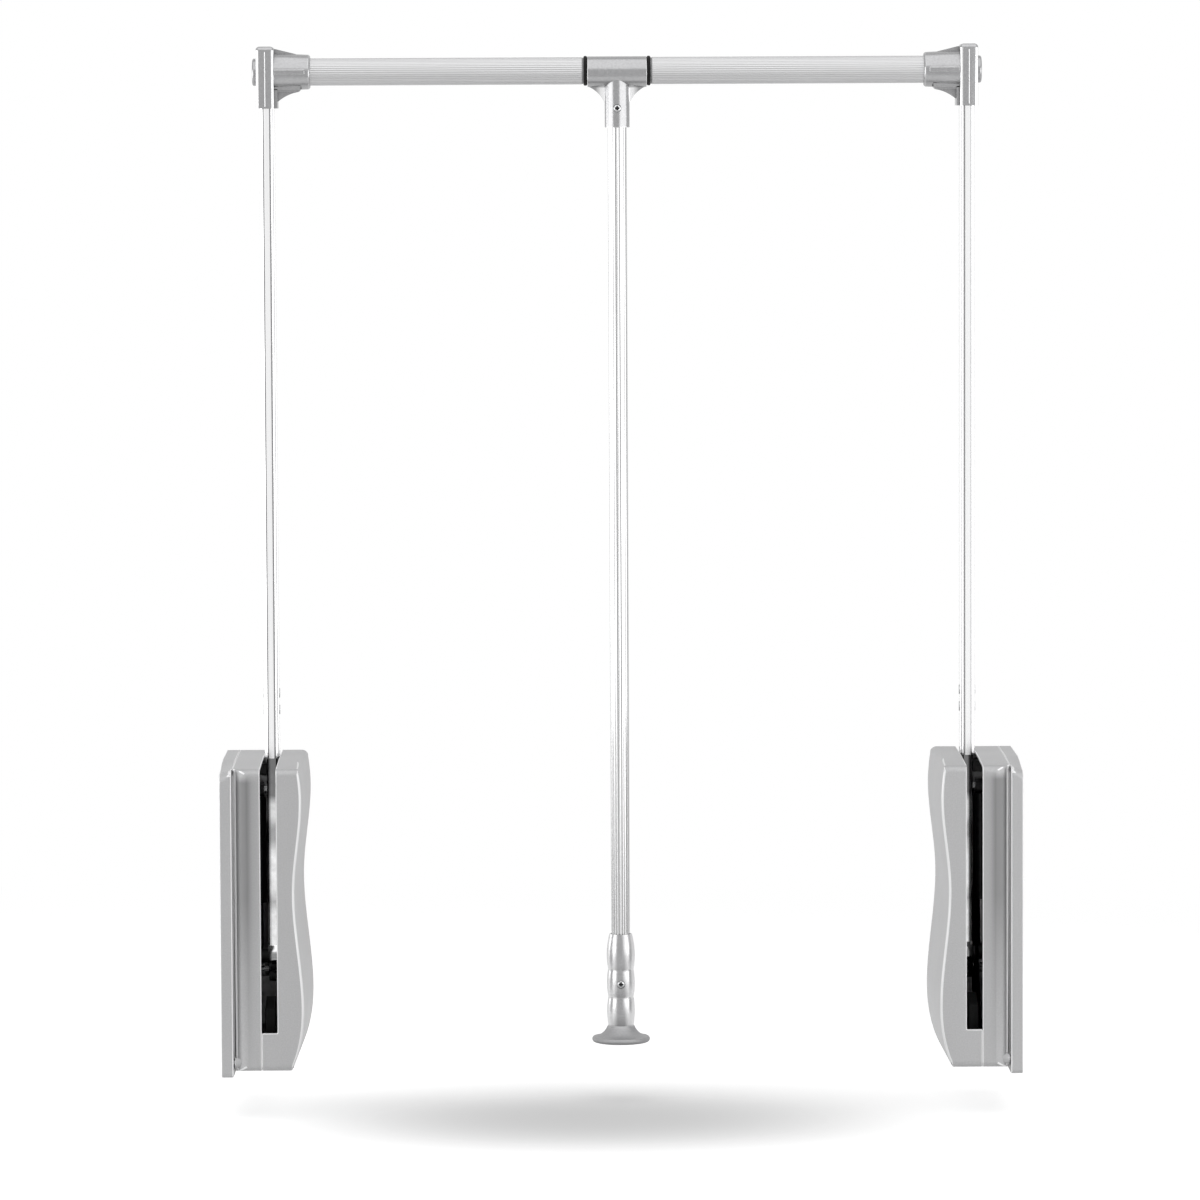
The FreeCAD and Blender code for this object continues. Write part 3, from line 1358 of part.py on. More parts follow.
screw_recess = new_sketch(grip, "XZ", "grip_bulge_radius - small_screw_head")
draw_circle(screw_recess, "0", "-grip_screw_drop", "small_screw_head_radius + snug_gap")
pocket(grip, screw_recess, "small_screw_head", along_normal=True)
centre_pieces.append(grip)
centre_pieces.append(
    front_screw(
        "grip_screw", "grip_bulge_radius", "grip_top - grip_screw_drop",
        "grip_bulge_radius - pull_radius + pull_wall",
    )
)


# ---------------------------------------------------------------- right side: the same pieces, mirrored
pieces = {piece.Label: piece for piece in centre_pieces}
for piece in left_pieces:
    name = piece.Label
    twin = doc.addObject("Part::Mirroring", f"right_{name}")
    twin.Source = piece
    twin.Normal = Vector(1, 0, 0)
    bind(twin, "Base.x", HALF_WIDTH)
    piece.Label = f"left_{name}"
    twin.Label = f"right_{name}"
    pieces[piece.Label] = piece
    pieces[twin.Label] = twin
doc.recompute()

for thing in doc.Objects:
    if "Invalid" in thing.State or "Error" in thing.State:
        raise RuntimeError(f"{thing.Label} did not build: {thing.State}")
for label, piece in pieces.items():
    if piece.Shape.isNull() or not piece.Shape.isValid() or not piece.Shape.Solids:
        raise RuntimeError(f"{label} has no sound solid")

os.makedirs("parts", exist_ok=True)
for label, piece in pieces.items():
    piece.Shape.exportStep(f"parts/{label}.step")
print(f"{len(pieces)} pieces written")
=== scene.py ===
import json
import math

import bmesh
import bpy
from mathutils import Matrix, Vector
from mathutils.bvhtree import BVHTree

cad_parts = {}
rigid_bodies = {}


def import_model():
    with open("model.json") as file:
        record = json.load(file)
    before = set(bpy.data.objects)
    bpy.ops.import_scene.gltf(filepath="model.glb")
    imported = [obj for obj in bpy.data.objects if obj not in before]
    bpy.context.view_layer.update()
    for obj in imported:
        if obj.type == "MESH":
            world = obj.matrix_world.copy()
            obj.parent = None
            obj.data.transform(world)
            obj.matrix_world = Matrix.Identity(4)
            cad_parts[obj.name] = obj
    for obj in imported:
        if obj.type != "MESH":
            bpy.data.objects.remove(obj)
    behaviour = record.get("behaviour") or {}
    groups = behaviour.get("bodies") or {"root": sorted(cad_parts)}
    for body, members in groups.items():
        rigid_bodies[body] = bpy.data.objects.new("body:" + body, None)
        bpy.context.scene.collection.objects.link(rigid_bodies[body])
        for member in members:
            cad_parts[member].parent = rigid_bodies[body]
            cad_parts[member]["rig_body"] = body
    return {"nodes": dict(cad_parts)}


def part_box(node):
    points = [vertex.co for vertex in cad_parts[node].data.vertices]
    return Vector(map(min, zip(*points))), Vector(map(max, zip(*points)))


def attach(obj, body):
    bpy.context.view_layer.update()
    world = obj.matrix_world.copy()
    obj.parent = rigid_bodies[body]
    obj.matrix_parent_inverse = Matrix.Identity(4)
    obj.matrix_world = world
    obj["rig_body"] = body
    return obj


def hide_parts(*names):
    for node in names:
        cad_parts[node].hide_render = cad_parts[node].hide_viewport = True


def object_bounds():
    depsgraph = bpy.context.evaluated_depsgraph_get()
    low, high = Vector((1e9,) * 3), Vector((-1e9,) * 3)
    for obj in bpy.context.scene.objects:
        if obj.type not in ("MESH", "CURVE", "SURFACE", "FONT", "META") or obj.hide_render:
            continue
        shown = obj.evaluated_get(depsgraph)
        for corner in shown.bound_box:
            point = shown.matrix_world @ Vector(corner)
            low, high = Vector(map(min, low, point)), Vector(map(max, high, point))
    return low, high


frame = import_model()
cad_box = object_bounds()

# ---------------------------------------------------------------- camera
# A long lens looks at the lift from straight ahead, five metres away and just under the height of the hanging
# rail. It tips a little downwards.
CAMERA_PLACE = Vector((0.2714, -5.3754, 0.7141))
CAMERA_DOWN = math.radians(4.434)
CAMERA_TO_RIGHT = math.radians(0.454)
CAMERA_ROLL = math.radians(-0.261)
SENSOR_MM = 36
LENS_MM = 194.03
camera_data = bpy.data.cameras.new("long_lens")
camera_data.sensor_width = SENSOR_MM
camera_data.lens = LENS_MM
camera = bpy.data.objects.new("camera", camera_data)
camera.matrix_world = (
    Matrix.Translation(CAMERA_PLACE)
    @ Matrix.Rotation(-CAMERA_TO_RIGHT, 4, "Z")
    @ Matrix.Rotation(math.radians(90) - CAMERA_DOWN, 4, "X")
    @ Matrix.Rotation(CAMERA_ROLL, 4, "Z")
)
bpy.context.scene.collection.objects.link(camera)
bpy.context.scene.camera = camera

# ---------------------------------------------------------------- studio room and lamps
# Two wide low soft boxes stand on the left and right and draw the bright stripes down the round metal. A
# broad one hangs above the front. The room lights softly, and its backdrop and reflection are plain white.
ROOM_LEVEL = 0.22
BACKDROP_LEVEL = 1
WHITE = (1, 1, 1, 1)
scene = bpy.context.scene
scene.view_settings.view_transform = "Standard"


def shown_to_eye(tree):
    """1 for rays from the camera, a reflection or a clear material, and 0 for rays that only carry light."""
    rays = tree.nodes.new("ShaderNodeLightPath")
    seen = tree.nodes.new("ShaderNodeMath")
    seen.operation = "MAXIMUM"
    shown = tree.nodes.new("ShaderNodeMath")
    shown.operation = "MAXIMUM"
    tree.links.new(rays.outputs["Is Camera Ray"], seen.inputs[0])
    tree.links.new(rays.outputs["Is Glossy Ray"], seen.inputs[1])
    tree.links.new(seen.outputs[0], shown.inputs[0])
    tree.links.new(rays.outputs["Is Transmission Ray"], shown.inputs[1])
    return shown.outputs[0]


world = bpy.data.worlds.new("pale_room")
world.use_nodes = True
scene.world = world
world_tree = world.node_tree
world_tree.nodes.clear()
room = world_tree.nodes.new("ShaderNodeBackground")
room.inputs["Color"].default_value = WHITE
room.inputs["Strength"].default_value = ROOM_LEVEL
backdrop = world_tree.nodes.new("ShaderNodeBackground")
backdrop.inputs["Color"].default_value = WHITE
backdrop.inputs["Strength"].default_value = BACKDROP_LEVEL
either = world_tree.nodes.new("ShaderNodeMixShader")
world_output = world_tree.nodes.new("ShaderNodeOutputWorld")
world_tree.links.new(shown_to_eye(world_tree), either.inputs["Fac"])
world_tree.links.new(room.outputs[0], either.inputs[1])
world_tree.links.new(backdrop.outputs[0], either.inputs[2])
world_tree.links.new(either.outputs[0], world_output.inputs["Surface"])


def soft_box(name, place, aim, width, height, power):
    """Rectangular lamp at a place, in metres and watts, turned towards the point it lights."""
    lamp = bpy.data.lights.new(name, "AREA")
    lamp.shape = "RECTANGLE"
    lamp.size = width
    lamp.size_y = height
    lamp.energy = power
    stand = bpy.data.objects.new(name, lamp)
    stand.visible_camera = False
    turn = (Vector(aim) - Vector(place)).to_track_quat("-Z", "Y").to_matrix().to_4x4()
    stand.matrix_world = Matrix.Translation(Vector(place)) @ turn
    scene.collection.objects.link(stand)


MIDDLE = (cad_box[0] + cad_box[1]) / 2
LAMP_HEIGHT = 0.42
SIDE_BOX_HEIGHT = 1.08
side_aim = (MIDDLE.x, 0, LAMP_HEIGHT)
soft_box(
    "right_soft_box", place=(1.8, -1.0, LAMP_HEIGHT), aim=side_aim,
    width=2.4, height=SIDE_BOX_HEIGHT, power=16.5,
)
soft_box(
    "left_soft_box", place=(-1.37, -0.36, LAMP_HEIGHT), aim=side_aim,
    width=2.7, height=SIDE_BOX_HEIGHT, power=22,
)
soft_box("overhead_soft_box", place=(MIDDLE.x, -0.9, 2.3), aim=MIDDLE, width=3.0, height=3.2, power=28)

# ---------------------------------------------------------------- floor
# A plain white sheet lies just under the housings, with a painted soft shadow below the lift. It falls
# away in front, where the rail swings down past it, and fades into the backdrop.
FLOOR_DROP = 0.036
FALL = 0.16
FALL_START = -0.36
FALL_END = -0.64
FALL_STEPS = 12
FLOOR_REACH = 6
FLOOR_WHITE = 0.9
FLOOR_LIFT = 0.55
SHADE_PLACE = (0.311, -0.1)
SHADE_LENGTH = 0.44
SHADE_DEPTH = 0.3
SHADE_LEVEL = 0.5
FADE_START = 0.8
FADE_END = 1.7
HEIGHT_IGNORED = 1000
floor_height = cad_box[0].z - FLOOR_DROP
floor_mesh = bpy.data.meshes.new("floor")
floor_rows = [(-FLOOR_REACH, floor_height - FALL)]
for step in range(FALL_STEPS + 1):
    share = step / FALL_STEPS
    fallen = (1 + math.cos(math.pi * share)) / 2
    floor_rows.append((FALL_END + (FALL_START - FALL_END) * share, floor_height - FALL * fallen))
floor_rows.append((FLOOR_REACH, floor_height))
floor_points = [(x, y, z) for y, z in floor_rows for x in (-FLOOR_REACH, FLOOR_REACH)]
floor_strips = [(i, i + 1, i + 3, i + 2) for i in range(0, len(floor_points) - 2, 2)]
floor_mesh.from_pydata(floor_points, [], floor_strips)
floor_mesh.shade_smooth()
floor = bpy.data.objects.new("floor", floor_mesh)
scene.collection.objects.link(floor)
sheet = bpy.data.materials.new("white_floor")
sheet.use_nodes = True
floor_tree = sheet.node_tree
floor_tree.nodes.clear()


def distance_share(tree, length, depth, start, end, low, high):
    """Smooth rise from low to high between two distances from the shade's middle, whatever the height."""
    place = tree.nodes.new("ShaderNodeTexCoord")
    centred = tree.nodes.new("ShaderNodeMapping")
    centred.vector_type = "TEXTURE"
    centred.inputs["Location"].default_value = (*SHADE_PLACE, floor_height)
    centred.inputs["Scale"].default_value = (length, depth, HEIGHT_IGNORED)
    away = tree.nodes.new("ShaderNodeVectorMath")
    away.operation = "LENGTH"
    rise = tree.nodes.new("ShaderNodeMapRange")
    rise.interpolation_type = "SMOOTHERSTEP"
    for name, value in (("From Min", start), ("From Max", end), ("To Min", low), ("To Max", high)):
        rise.inputs[name].default_value = value
    tree.links.new(place.outputs["Object"], centred.inputs["Vector"])
    tree.links.new(centred.outputs[0], away.inputs[0])
    tree.links.new(away.outputs["Value"], rise.inputs["Value"])
    return rise.outputs["Result"]


# The soft shadow below the lift is painted: the floor's colour and glow darken towards its middle.
painted_shadow_share = distance_share(
    floor_tree, SHADE_LENGTH, SHADE_DEPTH, start=0, end=1, low=SHADE_LEVEL, high=1
)
far_share = distance_share(floor_tree, 1, 1, start=FADE_START, end=FADE_END, low=0, high=1)
matt = floor_tree.nodes.new("ShaderNodeBsdfDiffuse")
tone = floor_tree.nodes.new("ShaderNodeMath")
tone.operation = "MULTIPLY"
tone.inputs[1].default_value = FLOOR_WHITE
floor_tree.links.new(painted_shadow_share, tone.inputs[0])
floor_tree.links.new(tone.outputs[0], matt.inputs["Color"])
lift = floor_tree.nodes.new("ShaderNodeMath")
lift.operation = "MULTIPLY"
lift.inputs[1].default_value = FLOOR_LIFT
glow = floor_tree.nodes.new("ShaderNodeEmission")
floor_tree.links.new(shown_to_eye(floor_tree), lift.inputs[0])
floor_tree.links.new(lift.outputs[0], glow.inputs["Strength"])
floor_tree.links.new(painted_shadow_share, glow.inputs["Color"])
near = floor_tree.nodes.new("ShaderNodeAddShader")
floor_tree.links.new(matt.outputs[0], near.inputs[0])
floor_tree.links.new(glow.outputs[0], near.inputs[1])
far = floor_tree.nodes.new("ShaderNodeEmission")
floor_tree.links.new(shown_to_eye(floor_tree), far.inputs["Strength"])
blend = floor_tree.nodes.new("ShaderNodeMixShader")
floor_tree.links.new(far_share, blend.inputs["Fac"])
floor_tree.links.new(near.outputs[0], blend.inputs[1])
floor_tree.links.new(far.outputs[0], blend.inputs[2])
floor_output = floor_tree.nodes.new("ShaderNodeOutputMaterial")
floor_tree.links.new(blend.outputs[0], floor_output.inputs["Surface"])
floor_mesh.materials.append(sheet)

# ---------------------------------------------------------------- housings: mounting plates and cover halves
# Three mouldings make each housing: a flat plate that screws to the wardrobe's panel, an outer half and a
# waisted inner half. They are sprayed satin silver, and every edge is a little round. Painted shade darkens
# their insides, corners and bow, and painted highlight brightens their lip, rims and edges.
SIDES = ("left", "right")
OUTWARD = {"left": -1, "right": 1}
WALL_X = {"left": cad_box[0].x, "right": cad_box[1].x}
COVER_SILVER = (0.45, 0.45, 0.455)
COVER_HIGHLIGHT = (0.78, 0.78, 0.785)
COVER_INSIDE_SHADE = (0.2, 0.2, 0.202)
COVER_ROUGHNESS = 0.44
COVER_EDGE = 0.0008
EDGE_ANGLE = 28
EDGE_STEPS = 3
EDGE_REACH = 0.002
STRAY_SHARE = 0.6
EVEN_WEIGHT = 100
WELD = 1e-6
FLAT_ANGLE = 0.5
GRAIN_STOPS = (0.3, 0.7)
OPENNESS_SAMPLES = 8


def new_finish(name, colour, metallic, roughness):
    """Material with one principled shader, its node tree and that shader."""
    finish = bpy.data.materials.new(name)
    finish.use_nodes = True
    shader = finish.node_tree.nodes["Principled BSDF"]
    shader.inputs["Base Color"].default_value = (*colour, 1)
    shader.inputs["Metallic"].default_value = metallic
    shader.inputs["Roughness"].default_value = roughness
    return finish, finish.node_tree, shader


def add_noise(tree, scale, stretch=(1, 1, 1), detail=3):
    """Noise on the piece's own coordinates, drawn out along an axis by a small stretch."""
    place = tree.nodes.new("ShaderNodeTexCoord")
    drawn = tree.nodes.new("ShaderNodeMapping")
    drawn.inputs["Scale"].default_value = stretch
    noise = tree.nodes.new("ShaderNodeTexNoise")
    noise.inputs["Scale"].default_value = scale
    noise.inputs["Detail"].default_value = detail
    tree.links.new(place.outputs["Object"], drawn.inputs["Vector"])
    tree.links.new(drawn.outputs[0], noise.inputs["Vector"])
    return noise.outputs["Fac"]


def shade(colour, factor):
    """The colour made darker or lighter by a factor."""
    return tuple(min(1, part * factor) for part in colour)


def vary_colour(tree, shader, pattern, dark, light):
    """The base colour wanders between two shades with the pattern."""
    ramp = tree.nodes.new("ShaderNodeValToRGB")
    for element, position, colour in zip(ramp.color_ramp.elements, GRAIN_STOPS, (dark, light)):
        element.position = position
        element.color = (*colour, 1)
    tree.links.new(pattern, ramp.inputs["Fac"])
    tree.links.new(ramp.outputs["Color"], shader.inputs["Base Color"])


def tint(tree, shader, share, colour):
    """Lays a colour over the base colour where the share is high."""
    over = tree.nodes.new("ShaderNodeMix")
    over.data_type = "RGBA"
    below = shader.inputs["Base Color"]
    if below.links:
        tree.links.new(below.links[0].from_socket, over.inputs["A"])
    else:
        over.inputs["A"].default_value = below.default_value
    over.inputs["B"].default_value = (*colour, 1)
    tree.links.new(share, over.inputs["Factor"])
    tree.links.new(over.outputs["Result"], below)


def mark(tree, name):
    """The piece's own attribute of that name, from 0 to 1."""
    stored = tree.nodes.new("ShaderNodeAttribute")
    stored.attribute_name = name
    return stored.outputs["Fac"]


def crevice_shade(tree, reach, strength):
    """Share of painted shade, high in corners and recesses that a point of the surface sees within a reach.
    """
    openness = tree.nodes.new("ShaderNodeAmbientOcclusion")
    openness.samples = OPENNESS_SAMPLES
    openness.inputs["Distance"].default_value = reach
    closed = tree.nodes.new("ShaderNodeMapRange")
    closed.inputs["From Min"].default_value = 1
    closed.inputs["From Max"].default_value = 0
    closed.inputs["To Min"].default_value = 0
    closed.inputs["To Max"].default_value = strength
    tree.links.new(openness.outputs["AO"], closed.inputs["Value"])
    return closed.outputs["Result"]


def vary_roughness(tree, shader, pattern, low, high):
    """The roughness wanders between two values with the pattern."""
    spread = tree.nodes.new("ShaderNodeMapRange")
    spread.inputs["To Min"].default_value = low
    spread.inputs["To Max"].default_value = high
    tree.links.new(pattern, spread.inputs["Value"])
    tree.links.new(spread.outputs["Result"], shader.inputs["Roughness"])


def add_bump(tree, shader, pattern, height):
    """The pattern stands out of the surface by a height in metres."""
    bump = tree.nodes.new("ShaderNodeBump")
    bump.inputs["Strength"].default_value = 1
    bump.inputs["Distance"].default_value = height
    tree.links.new(pattern, bump.inputs["Height"])
    tree.links.new(bump.outputs["Normal"], shader.inputs["Normal"])


def merged_copy(node):
    """CAD piece as one closed bmesh, without the seams between its triangles."""
    made = bmesh.new()
    made.from_mesh(frame["nodes"][node].data)
    bmesh.ops.remove_doubles(made, verts=made.verts, dist=WELD)
    flat = math.radians(FLAT_ANGLE)
    bmesh.ops.dissolve_limit(made, angle_limit=flat, verts=made.verts, edges=made.edges)
    return made


def smooth_by_angle(made, angle):
    """Smooth shading, broken at edges that turn by more than an angle in degrees."""
    limit = math.radians(angle)
    for face in made.faces:
        face.smooth = True
    for edge in made.edges:
        edge.smooth = not (edge.is_manifold and edge.calc_face_angle() > limit)


def new_piece(made, name):
    """Object at the origin from a bmesh, which is then freed."""
    mesh = bpy.data.meshes.new(name)
    made.to_mesh(mesh)
    made.free()
    piece = bpy.data.objects.new(name, mesh)
    scene.collection.objects.link(piece)
    return piece


def round_edges(made, edges, width, steps, **options):
    """Rounds some edges of a bmesh, and gives the new faces."""
    rounded = bmesh.ops.bevel(
        made, geom=edges, offset=width, offset_type="OFFSET", segments=steps, profile=0.5,
        affect="EDGES", clamp_overlap=False, material=-1, **options,
    )
    return rounded["faces"]


def eased_copy(node, width, brightness=1):
    """CAD piece as one merged mesh, with sharp edges near its box's sides rounded and given painted
    highlight.
    """
    low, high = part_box(node)
    made = merged_copy(node)
    limit = math.radians(EDGE_ANGLE)

    def on_outside(edge):
        middle = (edge.verts[0].co + edge.verts[1].co) / 2
        return any(min(middle[i] - low[i], high[i] - middle[i]) < EDGE_REACH for i in range(3))

    sharp = [e for e in made.edges if e.is_manifold and e.calc_face_angle() > limit and on_outside(e)]
    # The faces of the rounded edges carry painted highlight, as strong as the brightness.
    painted_highlight = made.faces.layers.float.new("edge")
    if width:
        as_cast = BVHTree.FromBMesh(made)
        for face in round_edges(made, sharp, width, EDGE_STEPS, miter_outer="ARC"):
            face[painted_highlight] = brightness
        # Where several edges meet, the rounding can throw a corner far out, and it is laid back on the piece.
        for vert in made.verts:
            nearest, _, _, distance = as_cast.find_nearest(vert.co)
            if distance > width * STRAY_SHARE:
                vert.co = nearest
    smooth_by_angle(made, EDGE_ANGLE)
    piece = new_piece(made, f"{node}_look")
    even = piece.modifiers.new("even_shading", "WEIGHTED_NORMAL")
    even.keep_sharp = True
    even.weight = EVEN_WEIGHT
    return piece


def put_on(piece, finish, node):
    """The piece takes a finish, stands for a CAD node and rides on that node's body."""
    piece.data.materials.clear()
    piece.data.materials.append(finish)
    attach(piece, frame["nodes"][node]["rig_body"])
    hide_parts(node)


# Distances in metres from the wall, the front or the face itself, and leans as parts of a face's normal.
SIGHT_START = 0.0002
SIGHT_REACH = 0.16
RIM_DEPTH = 0.009
RIM_FACING = 0.1
RIM_START = 0.0075
RIM_END = 0.0127
RIM_LEAN = (-0.97, -0.1)
WAVE_DEPTH = 0.0016
WAVE_LEAN = 0.3


def mark_inside(piece):
    """Marks the faces that look at another face of the same moulding, whose inside is painted dark as shade.
    """
    mesh = piece.data
    front = min(vert.co.y for vert in mesh.vertices)
    tree = BVHTree.FromPolygons([v.co for v in mesh.vertices], [p.vertices for p in mesh.polygons])
    inside = mesh.attributes.new("inside", "FLOAT", "FACE")
    for face, value in zip(mesh.polygons, inside.data):
        if face.center.y < front + RIM_DEPTH and face.normal.y < RIM_FACING:
            continue
        start = face.center + face.normal * SIGHT_START
        value.value = float(tree.ray_cast(start, face.normal, SIGHT_REACH)[0] is not None)


def mark_rims(piece, side):
    """Marks the rounded rims on either side of the shadow line between plate and cover for painted highlight.
    """
    mesh = piece.data
    front = min(vert.co.y for vert in mesh.vertices)
    for face, value in zip(mesh.polygons, mesh.attributes["edge"].data):
        from_wall = abs(face.center.x - WALL_X[side])
        leans = RIM_LEAN[0] < face.normal.y < RIM_LEAN[1]
        if RIM_START < from_wall < RIM_END and face.center.y < front + RIM_DEPTH and leans:
            value.value = 1


def mark_wave(piece):
    """Marks the narrow bevel along the waisted edge for painted highlight, as the other edges are marked."""
    mesh = piece.data
    front = min(vert.co.y for vert in mesh.vertices)
    for face, value in zip(mesh.polygons, mesh.attributes["edge"].data):
        leans = face.normal.y < -WAVE_LEAN and abs(face.normal.x) > WAVE_LEAN
        if face.center.y < front + WAVE_DEPTH and leans:
            value.value = 1


def add_block(made, across, deep, high):
    """Box between two places on each axis, each pair from low to high."""
    for vert in bmesh.ops.create_cube(made, size=1)["verts"]:
        vert.co = (across[vert.co.x > 0], deep[vert.co.y > 0], high[vert.co.z > 0])


def lay_tongue(piece, side):
    """The plate's tongue that closes the shadow line beside the cover."""
    made = bmesh.new()
    made.from_mesh(piece.data)
    across = sorted(WALL_X[side] - OUTWARD[side] * distance for distance in TONGUE_ACROSS)
    add_block(made, across, TONGUE_DEEP, TONGUE_HIGH)
    made.to_mesh(piece.data)
    made.free()


def share_along(tree, feed, stops):
    """A share that follows a number through a ramp of stops, each a number and its share."""
    first = stops[0][0]
    last = stops[-1][0]
    along = tree.nodes.new("ShaderNodeMapRange")
    along.inputs["From Min"].default_value = first
    along.inputs["From Max"].default_value = last
    ramp = tree.nodes.new("ShaderNodeValToRGB")
    while len(ramp.color_ramp.elements) < len(stops):
        ramp.color_ramp.elements.new(1)
    for element, (place, share) in zip(ramp.color_ramp.elements, stops):
        element.position = (place - first) / (last - first)
        element.color = (share, share, share, 1)
    tree.links.new(feed, along.inputs["Value"])
    tree.links.new(along.outputs["Result"], ramp.inputs["Fac"])
    return ramp.outputs["Color"]


def own_place(tree):
    """The piece's own coordinates: how far from the lift's middle, how far back and how high."""
    place = tree.nodes.new("ShaderNodeTexCoord")
    split = tree.nodes.new("ShaderNodeSeparateXYZ")
    offset = tree.nodes.new("ShaderNodeMath")
    offset.operation = "SUBTRACT"
    offset.inputs[1].default_value = MIDDLE.x
    sideways = tree.nodes.new("ShaderNodeMath")
    sideways.operation = "ABSOLUTE"
    tree.links.new(place.outputs["Object"], split.inputs["Vector"])
    tree.links.new(split.outputs["X"], offset.inputs[0])
    tree.links.new(offset.outputs[0], sideways.inputs[0])
    return sideways.outputs[0], split.outputs["Y"], split.outputs["Z"]


def share_over(tree, across, deep, high):
    """The product of the shares by distance from the lift's middle, by depth and by height, where given."""
    feeds = zip(own_place(tree), (across, deep, high))
    shares = [share_along(tree, feed, stops) for feed, stops in feeds if stops]
    share = shares[0]
    for other in shares[1:]:
        both = tree.nodes.new("ShaderNodeMath")
        both.operation = "MULTIPLY"
        tree.links.new(share, both.inputs[0])
        tree.links.new(other, both.inputs[1])
        share = both.outputs[0]
    return share


# Stops in metres: the outer half's bow has painted shade towards the wall, and the lip beside it a painted
# highlight.
BOW_ACROSS = (
    (0.29, 0), (0.2966, 0.12), (0.303, 0.4), (0.3075, 1), (0.311, 1), (0.316, 0.8), (0.3165, 0), (0.33, 0),
)
BOW_BACK = ((-0.101, 1), (-0.088, 1), (-0.083, 0))
BOW_HEIGHT = ((-0.09, 0.05), (-0.06, 0.2), (0.0, 0.5), (0.06, 0.95), (0.156, 1), (0.162, 0.1), (0.17, 0))
LIP_ACROSS = ((0.29, 0), (0.3163, 0), (0.3168, 0.9), (0.3189, 0.9), (0.3191, 0), (0.33, 0))
LIP_HEIGHT = ((-0.09, 0), (-0.073, 0), (-0.07, 1), (0.16, 1), (0.166, 0), (0.17, 0))
TONGUE_ACROSS = (0.0097, 0.0112)
TONGUE_DEEP = (-0.0955, -0.089)
TONGUE_HIGH = (-0.07, 0.162)
moulding, tree, shader = new_finish(
    "silver_sprayed_moulding", COVER_SILVER, metallic=0.3, roughness=COVER_ROUGHNESS
)
spray_grain = add_noise(tree, 900, detail=2)
vary_colour(tree, shader, spray_grain, shade(COVER_SILVER, 0.94), shade(COVER_SILVER, 1.06))
# Painted shade darkens the moulding's corners and recesses.
tint(tree, shader, crevice_shade(tree, reach=0.003, strength=0.4), shade(COVER_SILVER, 0.35))
# Painted shade on the bow, then a painted highlight on the lip beside it.
tint(tree, shader, share_over(tree, BOW_ACROSS, BOW_BACK, BOW_HEIGHT), shade(COVER_SILVER, 0.45))
tint(tree, shader, share_over(tree, LIP_ACROSS, BOW_BACK, LIP_HEIGHT), COVER_HIGHLIGHT)
# Painted highlight along the rounded edges and rims.
tint(tree, shader, mark(tree, "edge"), COVER_HIGHLIGHT)
# Painted shade: the faces inside the moulding are darkened.
tint(tree, shader, mark(tree, "inside"), COVER_INSIDE_SHADE)
vary_roughness(tree, shader, add_noise(tree, 30), COVER_ROUGHNESS - 0.05, COVER_ROUGHNESS + 0.06)
add_bump(tree, shader, add_noise(tree, 2200, detail=2), height=0.00002)
for side in SIDES:
    for part in ("mount_plate", "outer_cover", "inner_cover"):
        node = f"{side}_{part}"
        piece = eased_copy(node, COVER_EDGE)
        mark_inside(piece)
        if part == "mount_plate":
            lay_tongue(piece, side)
        if part == "inner_cover":
            mark_wave(piece)
        else:
            mark_rims(piece, side)
        put_on(piece, moulding, node)

# ---------------------------------------------------------------- housings: chassis and springs
# Inside each housing a folded channel of zinc-plated steel carries the pivot. A black gas strut hangs from
# its top pin and pushes on the lever's crank ear, and a rubber block at the slot's foot stops the lever.
CHASSIS_GREY = (0.45, 0.452, 0.456)
plated, tree, shader = new_finish("zinc_plated_sheet", CHASSIS_GREY, metallic=0.9, roughness=0.4)
spangle = add_noise(tree, 120, detail=6)
vary_colour(tree, shader, spangle, shade(CHASSIS_GREY, 0.75), shade(CHASSIS_GREY, 1.25))
vary_roughness(tree, shader, add_noise(tree, 260), low=0.32, high=0.5)
add_bump(tree, shader, add_noise(tree, 700), height=0.00004)

STRUT_BLACK = (0.02, 0.02, 0.022)
strut_black, tree, shader = new_finish("strut_enamel", STRUT_BLACK, metallic=0.1, roughness=0.35)
vary_colour(tree, shader, add_noise(tree, 200), dark=(0.014, 0.014, 0.016), light=(0.03, 0.03, 0.032))
vary_roughness(tree, shader, add_noise(tree, 90), low=0.28, high=0.42)
add_bump(tree, shader, add_noise(tree, 900), height=0.00002)

ROD_SILVER = (0.62, 0.62, 0.63)
ground_rod, tree, shader = new_finish("ground_rod", ROD_SILVER, metallic=1, roughness=0.16)
grinding = add_noise(tree, 300, stretch=(1, 1, 12))
vary_colour(tree, shader, grinding, dark=(0.54, 0.54, 0.55), light=(0.66, 0.66, 0.67))
vary_roughness(tree, shader, add_noise(tree, 60, stretch=(1, 1, 40)), low=0.1, high=0.24)

RUBBER_BLACK = (0.018, 0.018, 0.018)
rubber, tree, shader = new_finish("black_rubber", RUBBER_BLACK, metallic=0, roughness=0.6)
shader.inputs["Specular IOR Level"].default_value = 0.15
vary_colour(tree, shader, add_noise(tree, 400), dark=(0.003, 0.003, 0.003), light=(0.008, 0.008, 0.008))
add_bump(tree, shader, add_noise(tree, 1500), height=0.00003)

NYLON_BLACK = (0.03, 0.03, 0.032)
nylon, tree, shader = new_finish("dark_nylon", NYLON_BLACK, metallic=0, roughness=0.48)
vary_colour(tree, shader, add_noise(tree, 300), dark=(0.022, 0.022, 0.024), light=(0.045, 0.045, 0.048))
add_bump(tree, shader, add_noise(tree, 1200), height=0.00003)

